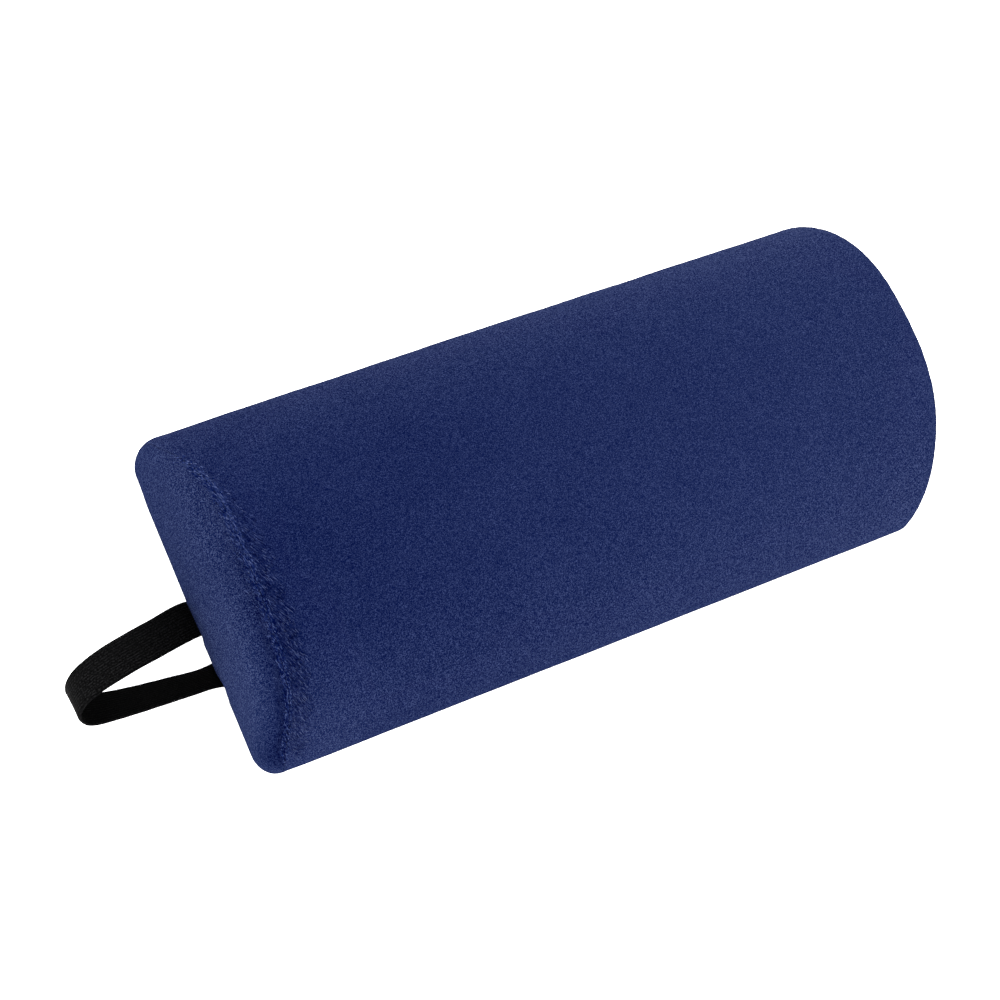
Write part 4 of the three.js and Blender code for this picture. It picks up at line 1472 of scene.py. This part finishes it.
@dataclass
class SeamPile:
    """Pile pressed up out of one seam: small bent tufts rooted on the ridge and beside it.

    Fields:
        end: The end that the seam is at.
        form: The roll.
        loop: The walk round its section.
        ridge_count: How many tufts stand on the ridge.
        beside_count: How many lie combed beside it.
        ridge_spread: How far from the seam the ridge's tufts are rooted, in metres.
        shortest: The shortest tuft, in metres.
        longest: The longest tuft on the ridge, in metres.
        width: The middle radius of a tuft's root, in metres.
        combed_longer: The share by which the combed tufts are longer.
        stand_along: The lean of the standing tufts along the seam: its mean and its spread.
        stand_over: Their lean over the seam.
        comb_along: The lean of the combed tufts along the seam.
        comb_over: Their lean over the seam.
        rise: The least and the most that a tuft rises for each metre of its length.
    """

    end: End
    form: RollForm
    loop: Loop
    ridge_count: int = 4400
    beside_count: int = 3800
    ridge_spread: float = 0.0010
    shortest: float = 0.0008
    longest: float = 0.0018
    width: float = 0.00021
    combed_longer: float = 0.4
    stand_along: tuple[float, float] = (0.9, 0.15)
    stand_over: tuple[float, float] = (0.36, 0.14)
    comb_along: tuple[float, float] = (0.9, 0.12)
    comb_over: tuple[float, float] = (0.5, 0.15)
    rise: tuple[float, float] = (0.10, 0.32)

    def density(self, surface: Surface, beside: bool) -> np.ndarray:
        """How many tufts grow at each place of a skin, as weights.

        On the ridge they thin out as exp(-(away / spread)^2 / 2). Beside it they lie up to about a
        centimetre away on the wrap. The left seam has them where it shows, with most of those
        beside it on the -Y half.

        Args:
            surface: The skin.
            beside: Whether the tufts that lie beside the ridge are meant.

        Returns:
            The weights, row by column.
        """
        away = surface.away
        around = self.loop.seam_shown if self.end is End.LEFT else np.ones(len(self.loop.arc))
        if beside:
            near = smooth_step(0.0010, 0.0025, away) * (1.0 - smooth_step(0.0030, 0.0100, away))
            on_panel = smooth_step(0.0010, 0.0025, -away) * (1.0 - smooth_step(0.003, 0.007, -away))
            near = near + 0.03 * on_panel
            around = around * (0.08 + self.loop.lower if self.end is End.LEFT else 1.0)
        else:
            near = np.exp(-0.5 * (away / (self.ridge_spread * (1.0 - 0.3 * self.loop.lower))) ** 2)
        of_end = np.sign(surface.points[..., 0]) == self.end.value
        cell = np.abs(np.gradient(away, axis=0)) * np.gradient(self.loop.arc)
        return near * around * cell * of_end * (surface.shown > 0.99)

    def roots(self, wrap: Surface, panel: Surface, draw: np.random.Generator) -> tuple[np.ndarray, ...]:
        """Picks the tufts' roots on the skins next to the seam.

        Args:
            wrap: The wrap's skin.
            panel: The panel's skin.
            draw: The source of the draws.

        Returns:
            The roots, their outward directions, their ways along the seam, 1 for the tufts beside the
            ridge or 0 for those on it, and the painted shading of the skin that each stands in.
        """
        skins = wrap, panel
        points = np.concatenate([skin.points for skin in skins])
        out = np.concatenate([outward(skin.points, self.form) for skin in skins])
        step = np.roll(points, -1, axis=1) - points
        picks = []
        for beside, count in ((False, self.ridge_count), (True, self.beside_count)):
            weights = np.concatenate([self.density(skin, beside) for skin in skins]).ravel()
            picks.append(draw.choice(len(weights), count, p=weights / weights.sum()))
        pick = np.concatenate(picks)
        slide = draw.random((len(pick), 1)) - 0.5
        step = step.reshape(-1, 3)[pick]
        root = points.reshape(-1, 3)[pick] + step * slide
        flat = (np.arange(len(pick)) >= self.ridge_count).astype(float)
        # Each tuft takes the painted shading of the skin at its root.
        lie = np.concatenate([skin.values["lie"] for skin in skins]).ravel()[pick]
        return root, out.reshape(-1, 3)[pick], unit(step), flat, lie

    def build(self, wrap: Surface, panel: Surface) -> bpy.types.Object:
        """Makes the tufts: three rings of three points that taper along a bent line to a tip.

        A tuft's line is root + length * (out * rise * u * (1 - u / 2) + lean * u), for u from 0 to 1.

        Args:
            wrap: The wrap's skin.
            panel: The panel's skin.

        Returns:
            The tufts as one object.
        """
        draw = np.random.default_rng(501 if self.end is End.LEFT else 502)
        root, out, along, flat, lie = self.roots(wrap, panel, draw)
        count = len(root)
        each = (count, 1)
        flat = flat[:, None]
        over = np.cross(out, along)
        way_round = np.where(draw.random(each) < 0.5, -1.0, 1.0)
        standing = along * draw.normal(*self.stand_along, each) + over * draw.normal(*self.stand_over, each)
        combed = along * draw.normal(*self.comb_along, each) + over * draw.normal(*self.comb_over, each)
        lean = way_round * standing * (1.0 - flat) + combed * flat
        length = draw.uniform(self.shortest, self.longest, each) * (1.0 + self.combed_longer * flat)
        rise = draw.uniform(*self.rise, each) * (1.0 - 0.6 * flat)
        share = np.array([0.0, 0.4, 0.75, 1.0])[None, :, None]
        line = root[:, None] - out[:, None] * 0.00012 + length[:, None] * (
            (out * rise)[:, None] * share * (1.0 - share / 2.0) + lean[:, None] * share)
        way = unit(np.gradient(line, axis=1))
        side = unit(np.cross(way, out[:, None] + 0.01))
        up = np.cross(way, side)
        turn = np.arange(3) * 2.0 * math.pi / 3.0
        thick = self.width * draw.uniform(0.7, 1.3, each) * np.array([1.0, 0.9, 0.55])
        ring = (np.cos(turn)[:, None] * side[:, :3, None] + np.sin(turn)[:, None] * up[:, :3, None])
        rings = line[:, :3, None] + ring * thick[..., None, None]
        vertices = np.concatenate([rings.reshape(count, 9, 3), line[:, 3:4]], axis=1)
        vertices[..., 2] = np.maximum(vertices[..., 2], 0.0001)
        corners = vertices.shape[1]
        base = (np.arange(count) * corners)[:, None, None]
        quads = [[3 * r + k, 3 * r + (k + 1) % 3, 3 * r + 3 + (k + 1) % 3, 3 * r + 3 + k]
                 for r in range(2) for k in range(3)]
        tips = [[6 + k, 6 + (k + 1) % 3, 9] for k in range(3)] + [[2, 1, 0]]
        tone = (draw.beta(0.8, 1.5, each) - 0.35) * (1.0 - 0.15 * flat)
        pile = new_piece(
            f"seam_pile_{self.end.name.lower()}", vertices.reshape(-1, 3),
            [(base + np.array(quads)).reshape(-1, 4), (base + np.array(tips)).reshape(-1, 3)],
            values={"tone": np.repeat(tone.ravel(), corners), "lie": np.repeat(lie, corners),
                    "flat": np.repeat(flat.ravel(), corners)},
        )
        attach(pile, "root")
        log.info("%s: %d tufts", pile.name, count)
        return pile


# Camera, floor and light


@dataclass(frozen=True)
class Softbox:
    """A square soft light that faces the roll.

    Fields:
        name: The light's name.
        place: Where it hangs, in metres.
        size: The length of its sides.
        power: Its power in watts.
        aim: The place that it faces.
    """

    name: str
    place: tuple[float, float, float]
    size: float
    power: float
    aim: tuple[float, float, float] = (0.0, 0.0, 0.04)

    def hang(self) -> None:
        """Puts the light into the scene."""
        data = bpy.data.lights.new(self.name, "AREA")
        data.shape = "SQUARE"
        data.size = self.size
        data.energy = self.power
        light = bpy.data.objects.new(self.name, data)
        light.location = self.place
        light.rotation_mode = "QUATERNION"
        light.rotation_quaternion = (Vector(self.aim) - Vector(self.place)).to_track_quat("-Z", "Y")
        bpy.context.scene.collection.objects.link(light)


@dataclass
class Studio:
    """A plain pale floor under plain soft light, seen from the photograph's angle.

    Fields:
        aim: The place that the camera looks at, in metres.
        azimuth: The camera's way round from -Y, in degrees as are the next two.
        elevation: Its height over the floor.
        tilt: Its turn about the line of sight.
        distance: How far it stands from the aim, in metres.
        lens: Its focal length in millimetres.
        floor_size: The length of the floor's sides, in metres.
        floor_level: How high the floor lies, in metres.
        world_strength: How bright the even surroundings are.
        lights: The soft lights.
    """

    aim: tuple[float, float, float] = (-0.02412, -0.00379, 0.0300)
    azimuth: float = -56.012
    elevation: float = 66.511
    tilt: float = -33.873
    distance: float = 0.86084
    lens: float = 77.16
    floor_size: float = 6.0
    floor_level: float = -0.0002
    world_strength: float = 2.5
    lights: tuple[Softbox, ...] = (
        Softbox("key_light", (-1.3, -0.4, 1.1), 1.2, 6.0),
        Softbox("top_light", (0.3, -0.2, 1.7), 1.6, 12.0),
    )

    def camera(self) -> bpy.types.Object:
        """Sets up the camera.

        It looks at the aim from the azimuth and elevation, and its up direction is turned by the
        tilt about the line of sight.

        Returns:
            The camera.
        """
        a, e, roll = (math.radians(v) for v in (self.azimuth, self.elevation, self.tilt))
        back = Vector((math.sin(a) * math.cos(e), -math.cos(a) * math.cos(e), math.sin(e)))
        level_up = (Vector((0.0, 0.0, 1.0)) - back * back.z).normalized()
        level_right = level_up.cross(back)
        up = level_up * math.cos(roll) + level_right * math.sin(roll)
        right = up.cross(back)
        data = bpy.data.cameras.new("studio_camera")
        data.lens = self.lens
        data.sensor_width = 36.0
        data.clip_start, data.clip_end = 0.01, 50.0
        camera = bpy.data.objects.new("studio_camera", data)
        place = Vector(self.aim) + back * self.distance
        camera.matrix_world = Matrix((
            (right.x, up.x, back.x, place.x),
            (right.y, up.y, back.y, place.y),
            (right.z, up.z, back.z, place.z),
            (0.0, 0.0, 0.0, 1.0),
        ))
        bpy.context.scene.collection.objects.link(camera)
        bpy.context.scene.camera = camera
        return camera

    def floor(self) -> bpy.types.Object:
        """Lays the floor just under the roll.

        Returns:
            The floor.
        """
        half = self.floor_size / 2.0
        corners = np.array([[x, y, self.floor_level] for x, y in ((-half, -half), (half, -half),
                                                                  (half, half), (-half, half))])
        floor = new_piece("studio_floor", corners, [np.array([[0, 1, 2, 3]])])
        floor.data.materials.append(PaleFloor().material())
        return floor

    def build(self) -> None:
        """Sets up the floor, the lights and the even surroundings."""
        scene = bpy.context.scene
        scene.view_settings.view_transform = "Standard"
        world = bpy.data.worlds.new("soft_room")
        world.use_nodes = True
        room = world.node_tree.nodes["Background"]
        room.inputs["Color"].default_value = rgba((1.0, 1.0, 1.0))
        room.inputs["Strength"].default_value = self.world_strength
        scene.world = world
        self.floor()
        for light in self.lights:
            light.hang()
        log.info("studio ready")


def main() -> None:
    """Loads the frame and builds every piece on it."""
    logging.basicConfig(level=logging.INFO, format="%(message)s")
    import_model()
    studio = Studio()
    studio.camera()
    strap = ElasticStrap()
    strap.build()
    FilledRoll(strap=strap).build()
    studio.build()


if __name__ == "__main__":
    main()
